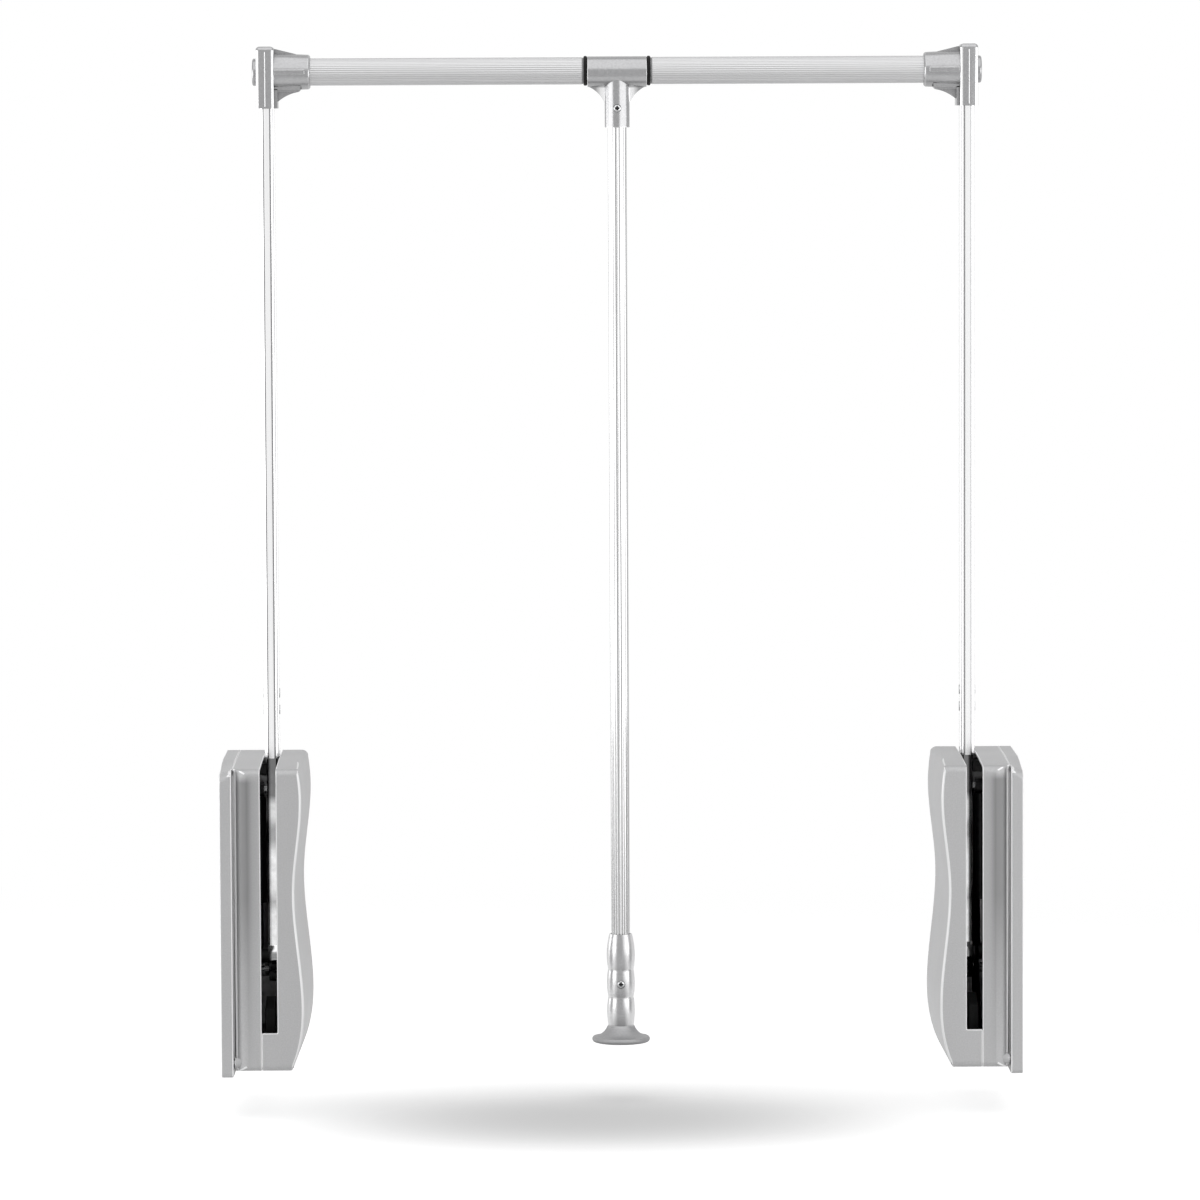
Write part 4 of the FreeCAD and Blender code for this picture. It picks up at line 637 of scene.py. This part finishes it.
ZINC_BRIGHT = (0.5, 0.505, 0.51)
RECESS_SHADE = (0.03, 0.03, 0.032)
bright_zinc, tree, shader = new_finish("bright_zinc", ZINC_BRIGHT, metallic=1, roughness=0.28)
vary_colour(tree, shader, add_noise(tree, 350), dark=(0.44, 0.445, 0.45), light=(0.56, 0.565, 0.57))
# Painted shade darkens the screws' cross recesses.
tint(tree, shader, mark(tree, "hollow"), RECESS_SHADE)
vary_roughness(tree, shader, add_noise(tree, 500), low=0.2, high=0.36)
BUFFER_EDGE = 0.0006
for side in SIDES:
    for part, finish, slot_name, edge in (
        ("chassis", plated, "chassis_steel", 0),
        ("strut_cylinder", strut_black, "strut_paint", 0),
        ("strut_rod", ground_rod, "polished_rod", 0),
        ("stop_buffer", rubber, "black_rubber", BUFFER_EDGE),
        ("pivot_bushes", nylon, "dark_nylon", 0),
        ("pivot_spacers", nylon, "dark_nylon", 0),
        ("pivot_pin", bright_zinc, "screw_steel", 0),
        ("pivot_clip", bright_zinc, "screw_steel", 0),
        ("strut_pin", bright_zinc, "screw_steel", 0),
    ):
        node = f"{side}_{part}"
        put_on(eased_copy(node, edge), finish, node)

# ---------------------------------------------------------------- fasteners
# Cross-recessed pan-head screws of bright zinc-plated steel hold the covers, the chassis, the brackets, the
# tee and the grip. Each is cold-headed in one piece, with a low domed head and a plain shank.
HEAD_RINGS = 16
HEAD_SPOKES = 48
SHANK_RINGS = 4
CROWN_POWER = 2.5
RIM_SHARE = 0.45
RECESS_SHARE = 0.55
BAR_SIDES = (0.35, 0.65)
BAR_ENDS = (0.45, 0.66)
GROWN_ANGLE = 35


def new_shape_tree(name, sizes, whole=()):
    """Geometry tree with named inputs for sizes, whole numbers and a material, its inputs and its outputs."""
    made = bpy.data.node_groups.new(name, "GeometryNodeTree")
    made.is_modifier = True
    made.interface.new_socket("Geometry", in_out="INPUT", socket_type="NodeSocketGeometry")
    for label in sizes:
        made.interface.new_socket(label, in_out="INPUT", socket_type="NodeSocketFloat")
    for label in whole:
        made.interface.new_socket(label, in_out="INPUT", socket_type="NodeSocketInt")
    made.interface.new_socket("Finish", in_out="INPUT", socket_type="NodeSocketMaterial")
    made.interface.new_socket("Geometry", in_out="OUTPUT", socket_type="NodeSocketGeometry")
    return made, made.nodes.new("NodeGroupInput").outputs, made.nodes.new("NodeGroupOutput").inputs


def add_step(made, kind, feeds, **options):
    """Node with its options set, whose inputs take values or the outputs of other nodes."""
    step = made.nodes.new(kind)
    for option, value in options.items():
        setattr(step, option, value)
    for key, feed in feeds.items():
        if isinstance(feed, bpy.types.NodeSocket):
            made.links.new(feed, step.inputs[key])
        else:
            step.inputs[key].default_value = feed
    return step.outputs


def maths(made, operation, *terms):
    """The result of one sum."""
    return add_step(made, "ShaderNodeMath", dict(enumerate(terms)), operation=operation)[0]


def pick(made, test, when_true, otherwise):
    """One of two numbers, by a test."""
    choice = {"Switch": test, "True": when_true, "False": otherwise}
    return add_step(made, "GeometryNodeSwitch", choice, input_type="FLOAT")[0]


def at_most(made, value, limit):
    """Whether a number stays at or under a limit."""
    terms = {"A": value, "B": limit}
    return add_step(made, "FunctionNodeCompare", terms, data_type="FLOAT", operation="LESS_EQUAL")[0]


def ring_grid(made, spokes, rows):
    """Flat grid to wrap round an axis: its mesh, the turn of each point in radians, and its row from 0."""
    grid = add_step(
        made,
        "GeometryNodeMeshGrid",
        {"Size X": 1, "Size Y": 1, "Vertices X": maths(made, "ADD", spokes, 1), "Vertices Y": rows},
    )
    place = add_step(made, "GeometryNodeInputPosition", {})[0]
    flat = add_step(made, "ShaderNodeSeparateXYZ", {"Vector": place})
    turn = maths(made, "MULTIPLY", maths(made, "ADD", flat["X"], 0.5), 2 * math.pi)
    row = maths(made, "ROUND", maths(made, "MULTIPLY", maths(made, "ADD", flat["Y"], 0.5), rows - 1))
    return grid["Mesh"], turn, row


def wrapped(made, grid, turn, radius, along):
    """The grid wrapped round the Z axis, with its seam and poles closed."""
    place = add_step(
        made,
        "ShaderNodeCombineXYZ",
        {
            "X": maths(made, "MULTIPLY", radius, maths(made, "COSINE", turn)),
            "Y": maths(made, "MULTIPLY", radius, maths(made, "SINE", turn)),
            "Z": along,
        },
    )[0]
    moved = add_step(made, "GeometryNodeSetPosition", {"Geometry": grid, "Position": place})[0]
    return add_step(made, "GeometryNodeMergeByDistance", {"Geometry": moved, "Distance": WELD})[0]


def stored_mark(made, geometry, name, value):
    """The geometry with a value kept on its points for the material to read."""
    return add_step(
        made,
        "GeometryNodeStoreNamedAttribute",
        {"Geometry": geometry, "Name": name, "Value": value},
        data_type="FLOAT",
        domain="POINT",
    )[0]


def plant(made, body, sizes, result):
    """Ends a tree: the body stands on every point, turned along its aim, as real mesh with its material."""
    aim = add_step(made, "GeometryNodeInputNamedAttribute", {"Name": "aim"}, data_type="FLOAT_VECTOR")[0]
    turned = add_step(made, "FunctionNodeAlignRotationToVector", {"Vector": aim}, axis="Z")[0]
    standing = {"Points": sizes["Geometry"], "Instance": body, "Rotation": turned}
    placed = add_step(made, "GeometryNodeInstanceOnPoints", standing)[0]
    solid = add_step(made, "GeometryNodeRealizeInstances", {"Geometry": placed})[0]
    finished = add_step(made, "GeometryNodeSetMaterial", {"Geometry": solid, "Material": sizes["Finish"]})[0]
    made.links.new(finished, result["Geometry"])


def grown(name, made, points, direction, settings, finish):
    """Runs a tree on points that share one aim, and keeps its result as a plain mesh with sound normals."""
    seeds = bpy.data.meshes.new(f"{name}_seeds")
    seeds.from_pydata(points, [], [])
    aim = seeds.attributes.new("aim", "FLOAT_VECTOR", "POINT")
    for value in aim.data:
        value.vector = direction
    seed_object = bpy.data.objects.new(f"{name}_seeds", seeds)
    scene.collection.objects.link(seed_object)
    growth = seed_object.modifiers.new(name, "NODES")
    growth.node_group = made
    for item in made.interface.items_tree:
        if item.in_out == "INPUT" and item.name in settings:
            growth[item.identifier] = settings[item.name]
        if item.in_out == "INPUT" and item.name == "Finish":
            growth[item.identifier] = finish
    evaluated = seed_object.evaluated_get(bpy.context.evaluated_depsgraph_get())
    mesh = bpy.data.meshes.new_from_object(evaluated)
    seed_object.modifiers.remove(growth)
    bpy.data.objects.remove(seed_object)
    shaped = bmesh.new()
    shaped.from_mesh(mesh)
    bmesh.ops.remove_doubles(shaped, verts=shaped.verts, dist=WELD)
    bmesh.ops.recalc_face_normals(shaped, faces=shaped.faces)
    smooth_by_angle(shaped, GROWN_ANGLE)
    return new_piece(shaped, name)


screw, sizes, result = new_shape_tree(
    "fastener",
    (
        "Head Radius", "Head Height", "Rim Height", "Shank Radius", "Shank Length", "Recess Width",
        "Recess Depth",
    ),
)
# The grid's rows are rings: the crown from its middle to its rim, the rim's foot, the shank's start and end,
# and its closed tip. A number and a half tells one row from the next.
grid, turn, row = ring_grid(screw, HEAD_SPOKES, 1 + HEAD_RINGS + SHANK_RINGS)
ring_share = maths(screw, "MINIMUM", maths(screw, "DIVIDE", row, HEAD_RINGS), 1)
on_top = at_most(screw, row, HEAD_RINGS + 0.5)
on_head = at_most(screw, row, HEAD_RINGS + 1.5)
on_shank_start = at_most(screw, row, HEAD_RINGS + 2.5)
on_shank = at_most(screw, row, HEAD_RINGS + 3.5)
top_radius = maths(screw, "MULTIPLY", ring_share, sizes["Head Radius"])
shank_radius = pick(screw, on_shank, sizes["Shank Radius"], 0.0)
radius = pick(screw, on_head, top_radius, shank_radius)
# The recess is a cross: near one of two axes, and not too far along the other.
across = maths(screw, "ABSOLUTE", maths(screw, "MULTIPLY", top_radius, maths(screw, "COSINE", turn)))
upward = maths(screw, "ABSOLUTE", maths(screw, "MULTIPLY", top_radius, maths(screw, "SINE", turn)))
near_axis = maths(screw, "MINIMUM", across, upward)
far_along = maths(screw, "MAXIMUM", across, upward)


def fading(made, value, size, shares):
    """Falls from 1 to 0 as the value passes from one share of a size to the other."""
    span = {
        "Value": value,
        "From Min": maths(made, "MULTIPLY", size, shares[0]),
        "From Max": maths(made, "MULTIPLY", size, shares[1]),
        "To Min": 1.0,
        "To Max": 0.0,
    }
    return add_step(made, "ShaderNodeMapRange", span)[0]


in_bar = fading(screw, near_axis, sizes["Recess Width"], BAR_SIDES)
in_reach = fading(screw, far_along, sizes["Head Radius"], BAR_ENDS)
recess = maths(screw, "MULTIPLY", maths(screw, "MULTIPLY", in_bar, in_reach), on_top)
crown = maths(screw, "SUBTRACT", sizes["Head Height"], sizes["Rim Height"])
fall = maths(screw, "MULTIPLY", crown, maths(screw, "POWER", ring_share, CROWN_POWER))
domed = maths(screw, "SUBTRACT", sizes["Head Height"], fall)
top_height = maths(screw, "SUBTRACT", domed, maths(screw, "MULTIPLY", recess, sizes["Recess Depth"]))
shank_end = maths(screw, "MULTIPLY", sizes["Shank Length"], -1)
height = pick(screw, on_top, top_height, pick(screw, on_shank_start, 0.0, shank_end))
marked = stored_mark(screw, grid, "hollow", recess)
plant(screw, wrapped(screw, marked, turn, radius, height), sizes, result)


def islands(node):
    """Lowest and highest corners of each loose part of a CAD piece, from left to right."""
    made = merged_copy(node)
    unseen = set(made.verts)
    boxes = []
    while unseen:
        todo = [unseen.pop()]
        found = list(todo)
        while todo:
            for edge in todo.pop().link_edges:
                for vert in edge.verts:
                    if vert in unseen:
                        unseen.remove(vert)
                        todo.append(vert)
                        found.append(vert)
        low = Vector(min(v.co[i] for v in found) for i in range(3))
        high = Vector(max(v.co[i] for v in found) for i in range(3))
        boxes.append((low, high))
    made.free()
    return sorted(boxes, key=lambda box: tuple(box[0]))


def fit_screws(node, axis, facing, head_height, shank_radius, recess_width):
    """Screws of one size in place of a CAD node's plain ones, facing one way along X, 0, or Y, 1."""
    other = 1 - axis
    seats = []
    lengths = []
    for low, high in islands(node):
        head_radius = (high[other] - low[other]) / 2
        lengths.append(high[axis] - low[axis])
        seat = (low + high) / 2
        seat[axis] = high[axis] - head_height if facing > 0 else low[axis] + head_height
        seats.append(seat)
    direction = [0, 0, 0]
    direction[axis] = facing
    screw_sizes = {
        "Head Radius": head_radius,
        "Head Height": head_height,
        "Rim Height": head_height * RIM_SHARE,
        "Shank Radius": shank_radius,
        "Shank Length": min(lengths) - head_height,
        "Recess Width": recess_width,
        "Recess Depth": head_height * RECESS_SHARE,
    }
    piece = grown(f"{node}_look", screw, seats, direction, screw_sizes, bright_zinc)
    put_on(piece, bright_zinc, node)


for side in SIDES:
    outward = OUTWARD[side]
    fit_screws(
        f"{side}_cover_screws", axis=0, facing=outward,
        head_height=0.0026, shank_radius=0.002, recess_width=0.0013,
    )
    fit_screws(
        f"{side}_chassis_screws", axis=0, facing=-outward,
        head_height=0.0018, shank_radius=0.002, recess_width=0.0012,
    )
for node in ("tee_screw", "grip_screw"):
    fit_screws(node, axis=1, facing=-1, head_height=0.0018, shank_radius=0.0016, recess_width=0.0012)

# ---------------------------------------------------------------- levers, arms and rivets
# A plated steel bar swings in each housing, and two rivets fasten it inside a flat drawn tube, the arm. The
# arms are bright anodised aluminium with shallow draw grooves along their length.
LEVER_STEEL = (0.9, 0.9, 0.905)
LEVER_EDGE = 0.0005
RIVET_EDGE = 0.0003
# Heights in metres where the lever is painted dark as shade, each with its share, and a painted shade line
# down each lever.
LEVER_SHADE_BANDS = (
    (-0.010, 0.8), (0.003, 0.75), (0.010, 0.1), (0.036, 0.1), (0.047, 0.5), (0.058, 0.08), (0.084, 0.1),
    (0.100, 0.62), (0.108, 0.62), (0.118, 0.25), (0.128, 0.3), (0.136, 0.82), (0.168, 0.86), (0.176, 0.1),
)
LEVER_SHADE_LINE = ((0.28, 0), (0.2912, 0), (0.2919, 0.5), (0.2926, 0), (0.3, 0))
LEVER_SHADE = (0.05, 0.05, 0.052)
LEVER_HIGHLIGHT = (0.95, 0.95, 0.95)
lever_finish, tree, shader = new_finish("plated_bar", LEVER_STEEL, metallic=1, roughness=0.06)
plating = add_noise(tree, 160, detail=5)
vary_colour(tree, shader, plating, shade(LEVER_STEEL, 0.9), shade(LEVER_STEEL, 1.1))
sideways, _, height = own_place(tree)
# Painted shade darkens a line down the lever.
tint(tree, shader, share_along(tree, sideways, LEVER_SHADE_LINE), shade(LEVER_STEEL, 0.3))
# Painted highlight on the lever's rounded edges.
tint(tree, shader, mark(tree, "edge"), LEVER_HIGHLIGHT)
# Painted shade darkens the lever in bands by height.
tint(tree, shader, share_along(tree, height, LEVER_SHADE_BANDS), LEVER_SHADE)
vary_roughness(tree, shader, add_noise(tree, 200, stretch=(6, 6, 1)), low=0.04, high=0.09)

ARM_BRIGHT = (0.9, 0.9, 0.905)
ARM_GROOVE_SHADE = (0.28, 0.28, 0.282)
arm_finish, tree, shader = new_finish("bright_drawn_arm", ARM_BRIGHT, metallic=1, roughness=0.16)
draw_lines = add_noise(tree, 500, stretch=(1, 1, 0.004), detail=2)
vary_colour(tree, shader, draw_lines, shade(ARM_BRIGHT, 0.95), shade(ARM_BRIGHT, 1.02))
# Painted shade darkens the arm's grooves.
tint(tree, shader, mark(tree, "hollow"), ARM_GROOVE_SHADE)
vary_roughness(tree, shader, draw_lines, low=0.12, high=0.2)
add_bump(tree, shader, draw_lines, height=0.000005)

ARM_CORNER = 0.0033
ARM_WALL = 0.001
ARM_SIDE_WALL = 0.0017
ARM_HOLLOW_CORNER = 0.002
ARM_ANGLE = 25
GROOVE_WIDTH = 0.0013
GROOVE_DEPTH = 0.00022
GROOVE_SLOPE = 0.15
ARM_GROOVES = (-0.0031, 0.0026, 0.0051)
CORNER_STEPS = 8


def rounded_outline(half_width, half_depth, corner):
    """Points of a rounded rectangle, counter-clockwise from its front right corner."""
    points = []
    for x_sign, y_sign, start in ((1, -1, -90), (1, 1, 0), (-1, 1, 90), (-1, -1, 180)):
        middle = Vector((x_sign * (half_width - corner), y_sign * (half_depth - corner)))
        for step in range(CORNER_STEPS + 1):
            turn = math.radians(start + 90 * step / CORNER_STEPS)
            points.append(middle + Vector((math.cos(turn), math.sin(turn))) * corner)
    return points


def grooved(points, grooves):
    """The outline with grooves cut into its front and back, and how deep each point lies, from 0 to 1."""
    floor_half = 0.5 - GROOVE_SLOPE
    breaks = [
        groove + place * GROOVE_WIDTH for groove in grooves for place in (-0.5, -floor_half, floor_half, 0.5)
    ]
    cut = []
    for start, end in zip(points, points[1:] + points[:1]):
        run = end - start
        inward = Vector((-run.y, run.x)).normalized()
        # A run along the side meets no groove, and the next run starts with this one's end.
        steps = [0] + sorted((place - start.x) / run.x for place in breaks if abs(run.x) > 1e-9)
        for along in steps:
            if 0 <= along < 0.999:
                point = start + run * along
                from_groove = min(abs(point.x - groove) for groove in grooves)
                share = max(0, min(1, (0.5 - from_groove / GROOVE_WIDTH) / GROOVE_SLOPE))
                cut.append((point + inward * GROOVE_DEPTH * share, share))
    return cut


def arm_mesh(node, outward):
    """Drawn tube in the box of its CAD piece, with three grooves along its front and back."""
    low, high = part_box(node)
    middle = (low + high) / 2
    grooves = [groove * -outward for groove in ARM_GROOVES]
    half_width = (high.x - low.x) / 2
    half_depth = (high.y - low.y) / 2
    outside = grooved(rounded_outline(half_width, half_depth, ARM_CORNER), grooves)
    inside = rounded_outline(half_width - ARM_SIDE_WALL, half_depth - ARM_WALL, ARM_HOLLOW_CORNER)
    made = bmesh.new()
    hollow = made.verts.layers.float.new("hollow")
    rings = []
    for outline in (outside, [(point, 0) for point in inside]):
        for z in (low.z, high.z):
            ring = []
            for point, share in outline:
                vert = made.verts.new((middle.x + point.x, middle.y + point.y, z))
                vert[hollow] = share
                ring.append(vert)
            rings.append(ring)
    for bottom, top in (rings[0:2], rings[2:4]):
        for i in range(len(bottom)):
            j = (i + 1) % len(bottom)
            made.faces.new((bottom[i], bottom[j], top[j], top[i]))
    for outer, inner in ((rings[0], rings[2]), (rings[1], rings[3])):
        edges = []
        for ring in (outer, inner):
            edges += [made.edges.get((ring[i], ring[(i + 1) % len(ring)])) for i in range(len(ring))]
        bmesh.ops.triangle_fill(made, use_beauty=True, use_dissolve=False, edges=edges)
    bmesh.ops.recalc_face_normals(made, faces=made.faces)
    smooth_by_angle(made, ARM_ANGLE)
    return new_piece(made, f"{node}_look")


for side in SIDES:
    lever = f"{side}_lever"
    put_on(eased_copy(lever, LEVER_EDGE), lever_finish, lever)
    arm = f"{side}_arm_tube"
    put_on(arm_mesh(arm, OUTWARD[side]), arm_finish, arm)
    rivets = f"{side}_arm_rivets"
    put_on(eased_copy(rivets, RIVET_EDGE), bright_zinc, rivets)

# ---------------------------------------------------------------- corner brackets
# Zinc die castings join the arms to the rail. They are sprayed satin silver, and a round cap closes the
# outside. Two screws enter each from behind.
CAST_GREY = (0.34, 0.34, 0.345)
CAST_EDGE_HIGHLIGHT = (0.85, 0.85, 0.855)
CAST_HIGHLIGHT = (0.9, 0.9, 0.905)
BRACKET_EDGE = 0.0003
BRACKET_HIGHLIGHT = 0.25


def new_casting(name, across=(), high=()):
    """Satin silver finish of a casting, with painted highlight where its shares across and by height are
    high.
    """
    finish, tree, shader = new_finish(name, CAST_GREY, metallic=0.9, roughness=0.24)
    grain = add_noise(tree, 600, detail=2)
    vary_colour(tree, shader, grain, shade(CAST_GREY, 0.94), shade(CAST_GREY, 1.06))
    # Painted shade darkens the casting's corners and recesses.
    tint(tree, shader, crevice_shade(tree, reach=0.01, strength=0.4), shade(CAST_GREY, 0.3))
    if across:
        # Painted highlight stripes to either side of the middle.
        tint(tree, shader, share_over(tree, across, None, high), CAST_HIGHLIGHT)
    # Painted highlight on the casting's rounded edges.
    tint(tree, shader, mark(tree, "edge"), CAST_EDGE_HIGHLIGHT)
    add_bump(tree, shader, add_noise(tree, 900, detail=2), height=0.00002)
    return finish, tree, shader


cast, tree, shader = new_casting("satin_silver_casting")
vary_roughness(tree, shader, add_noise(tree, 80), low=0.22, high=0.26)
NOSE_WIDTH = 0.015
NOSE_FRONT = 0.0163
NOSE_BACK = 0.01
NOSE_EDGE = 0.0024
NOSE_HIGHLIGHT = 0.7
NOSE_TOP_EDGE = 0.003
NOSE_STEPS = 6
NOSE_ANGLE = 35
BEAD_WIDTH = 0.0008
BEAD_SIDES = 16
BEAD_HIGHLIGHT = 0.5
FILLET_ACROSS = (0.0145, 0.0368)
FILLET_DEEP = (-0.0095, -0.002)
FILLET_HIGH = (0.7222, 0.7256)


def bracket_nose(side):
    """The flat nose that closes a bracket's front, with round edges, a bead and a fillet under the socket."""
    low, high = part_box(f"{side}_corner_bracket")
    outer_x = low.x if side == "left" else high.x
    inward = -OUTWARD[side]
    centre_x = outer_x + inward * NOSE_WIDTH / 2
    made = bmesh.new()
    nose_sides = (centre_x - NOSE_WIDTH / 2, centre_x + NOSE_WIDTH / 2)
    add_block(made, nose_sides, (-NOSE_FRONT, -NOSE_BACK), (low.z, high.z))

    def front_upright(edge):
        first, second = (vert.co for vert in edge.verts)
        return max(first.y, second.y) < -NOSE_BACK - WELD and abs(first.z - second.z) > NOSE_TOP_EDGE

    def on_top(edge):
        return all(vert.co.z > high.z - WELD for vert in edge.verts)

    # The nose's rounded upright edges and its bead carry a painted highlight.
    painted_highlight = made.faces.layers.float.new("edge")
    for width, wanted, brightness in ((NOSE_EDGE, front_upright, NOSE_HIGHLIGHT), (NOSE_TOP_EDGE, on_top, 0)):
        edges = [edge for edge in made.edges if wanted(edge)]
        for face in round_edges(made, edges, width, NOSE_STEPS):
            face[painted_highlight] = brightness
    fillet_sides = sorted(outer_x + inward * distance for distance in FILLET_ACROSS)
    add_block(made, fillet_sides, FILLET_DEEP, FILLET_HIGH)
    bead_middle = Vector((centre_x, -NOSE_FRONT, (low.z + high.z) / 2 - NOSE_TOP_EDGE / 2))
    bead = bmesh.ops.create_cone(
        made, cap_ends=True, segments=BEAD_SIDES, radius1=BEAD_WIDTH / 2, radius2=BEAD_WIDTH / 2,
        depth=high.z - low.z - 2 * NOSE_TOP_EDGE, matrix=Matrix.Translation(bead_middle),
    )
    for vert in bead["verts"]:
        for face in vert.link_faces:
            face[painted_highlight] = BEAD_HIGHLIGHT
    smooth_by_angle(made, NOSE_ANGLE)
    return new_piece(made, f"{side}_bracket_nose")


for side in SIDES:
    nose = bracket_nose(side)
    nose.data.materials.append(cast)
    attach(nose, frame["nodes"][f"{side}_corner_bracket"]["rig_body"])
    for part, edge in (("corner_bracket", BRACKET_EDGE), ("bracket_cap", 0)):
        node = f"{side}_{part}"
        put_on(eased_copy(node, edge, brightness=BRACKET_HIGHLIGHT), cast, node)
    fit_screws(
        f"{side}_bracket_screws", axis=1, facing=1,
        head_height=0.0016, shank_radius=0.00175, recess_width=0.0012,
    )

# ---------------------------------------------------------------- hanging rail
# Two outer tubes slide on a slimmer centre tube. All are extruded aluminium with fine flutes, satin anodised.
# Grey nylon guides close the outer tubes' ends, and rubber rings and nylon bushes sit under the tee.
RAIL_GREY = (0.56, 0.56, 0.565)
RAIL_FLUTES = 40
CENTRE_FLUTES = 32
TUBE_WALL = 0.0012
FLUTE_DEPTH = 0.0003
FLUTE_STEPS = 6
RING_EDGE = 0.0011
rail_finish, tree, shader = new_finish("satin_anodised_rail", RAIL_GREY, metallic=0.85, roughness=0.36)
draw_lines = add_noise(tree, 700, stretch=(0.004, 1, 1), detail=2)
vary_colour(tree, shader, draw_lines, shade(RAIL_GREY, 0.96), shade(RAIL_GREY, 1.04))
# Painted shade darkens the flutes' valleys.
tint(tree, shader, mark(tree, "hollow"), shade(RAIL_GREY, 0.72))
vary_roughness(tree, shader, draw_lines, low=0.3, high=0.42)

GUIDE_GREY = (0.28, 0.28, 0.284)
guide_nylon, tree, shader = new_finish("grey_nylon", GUIDE_GREY, metallic=0, roughness=0.45)
vary_colour(tree, shader, add_noise(tree, 300), dark=(0.24, 0.24, 0.244), light=(0.32, 0.32, 0.324))
add_bump(tree, shader, add_noise(tree, 1200), height=0.00002)

fluted, sizes, result = new_shape_tree(
    "fluted_tube", ("Length", "Radius", "Bore", "Flute Depth"), whole=("Flutes",)
)
# The grid's rows run along the outside, across the far end, back through the bore and across the near end.
TUBE_ROWS = 5
FAR_END_ROWS = 1.5
BORE_ROWS = 2.5
ROW_REACH = 0.6
spokes = maths(fluted, "MULTIPLY", sizes["Flutes"], FLUTE_STEPS)
grid, turn, row = ring_grid(fluted, spokes, TUBE_ROWS)
ripple = maths(fluted, "COSINE", maths(fluted, "MULTIPLY", turn, sizes["Flutes"]))
valley = maths(fluted, "MULTIPLY_ADD", ripple, -0.5, 0.5)
crest = maths(fluted, "SUBTRACT", sizes["Radius"], maths(fluted, "MULTIPLY", valley, sizes["Flute Depth"]))
from_bore = maths(fluted, "ABSOLUTE", maths(fluted, "SUBTRACT", row, BORE_ROWS))
in_bore = at_most(fluted, from_bore, ROW_REACH)
from_far_end = maths(fluted, "ABSOLUTE", maths(fluted, "SUBTRACT", row, FAR_END_ROWS))
at_far_end = at_most(fluted, from_far_end, ROW_REACH)
radius = pick(fluted, in_bore, sizes["Bore"], crest)
along = pick(fluted, at_far_end, sizes["Length"], 0.0)
hollow = pick(fluted, in_bore, 0.0, valley)
marked = stored_mark(fluted, grid, "hollow", hollow)
plant(fluted, wrapped(fluted, marked, turn, radius, along), sizes, result)


def fluted_tube(node, axis, flutes, finish):
    """Fluted tube in place of a CAD node's plain one, along an axis, 0 for X or 2 for Z."""
    low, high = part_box(node)
    start = (low + high) / 2
    start[axis] = low[axis]
    direction = [0, 0, 0]
    direction[axis] = 1
    radius = (high.y - low.y) / 2
    tube_sizes = {
        "Length": high[axis] - low[axis],
        "Radius": radius,
        "Bore": radius - TUBE_WALL,
        "Flute Depth": FLUTE_DEPTH,
        "Flutes": flutes,
    }
    piece = grown(f"{node}_look", fluted, [start], direction, tube_sizes, finish)
    put_on(piece, finish, node)


for node in ("left_rail_tube", "right_rail_tube"):
    fluted_tube(node, axis=0, flutes=RAIL_FLUTES, finish=rail_finish)
fluted_tube("centre_tube", axis=0, flutes=CENTRE_FLUTES, finish=rail_finish)
for node, finish, slot_name, edge in (
    ("left_rail_guide", guide_nylon, "dark_nylon", 0),
    ("right_rail_guide", guide_nylon, "dark_nylon", 0),
    ("tee_rings", rubber, "black_rubber", RING_EDGE),
    ("tee_bushes", nylon, "dark_nylon", 0),
):
    put_on(eased_copy(node, edge), finish, node)

# ---------------------------------------------------------------- tee, pull rod and grip
# A cast tee turns on the centre tube between two rubber rings. The pull tube hangs from it, and ends in a
# contoured grip with a flared foot.
PULL_BRIGHT = (0.7, 0.7, 0.705)
PULL_FLUTES = 20
pull_finish, tree, shader = new_finish("bright_anodised_pull", PULL_BRIGHT, metallic=1, roughness=0.2)
draw_lines = add_noise(tree, 700, stretch=(1, 1, 0.004), detail=2)
vary_colour(tree, shader, draw_lines, shade(PULL_BRIGHT, 0.94), shade(PULL_BRIGHT, 1.03))
# Painted shade darkens the flutes' valleys.
tint(tree, shader, mark(tree, "hollow"), shade(PULL_BRIGHT, 0.45))
vary_roughness(tree, shader, draw_lines, low=0.16, high=0.26)
fluted_tube("pull_tube", axis=2, flutes=PULL_FLUTES, finish=pull_finish)

# Stops in metres: the tee's neck and the grip's hand part carry painted highlight a little to either side of
# the middle.
TEE_ACROSS = ((0, 0), (0.0099, 0), (0.0104, 1), (0.0135, 0.8), (0.018, 0), (0.04, 0))
TEE_HIGH = ((0.68, 1), (0.7225, 1), (0.7245, 0), (0.76, 0))
TEE_EDGE = 0.0005
TEE_HIGHLIGHT = 0.6
tee_finish, tree, shader = new_casting("tee_casting_painted_highlight", TEE_ACROSS, TEE_HIGH)
vary_roughness(tree, shader, add_noise(tree, 80), low=0.22, high=0.26)
put_on(eased_copy("tee_fitting", TEE_EDGE, brightness=TEE_HIGHLIGHT), tee_finish, "tee_fitting")

GRIP_ACROSS = ((0, 0), (0.0028, 0), (0.0062, 0.55), (0.0106, 0.5), (0.0124, 0), (0.03, 0))
GRIP_HIGH = ((-0.08, 0), (-0.0605, 0), (-0.0585, 1), (0.02, 1))
GRIP_ROUGHNESS = ((-0.08, 0.6), (-0.062, 0.6), (-0.0595, 0.26), (0.02, 0.3))
grip_finish, tree, shader = new_casting("silver_grip", GRIP_ACROSS, GRIP_HIGH)
_, _, height = own_place(tree)
tree.links.new(share_along(tree, height, GRIP_ROUGHNESS), shader.inputs["Roughness"])
put_on(eased_copy("pull_grip", 0), grip_finish, "pull_grip")
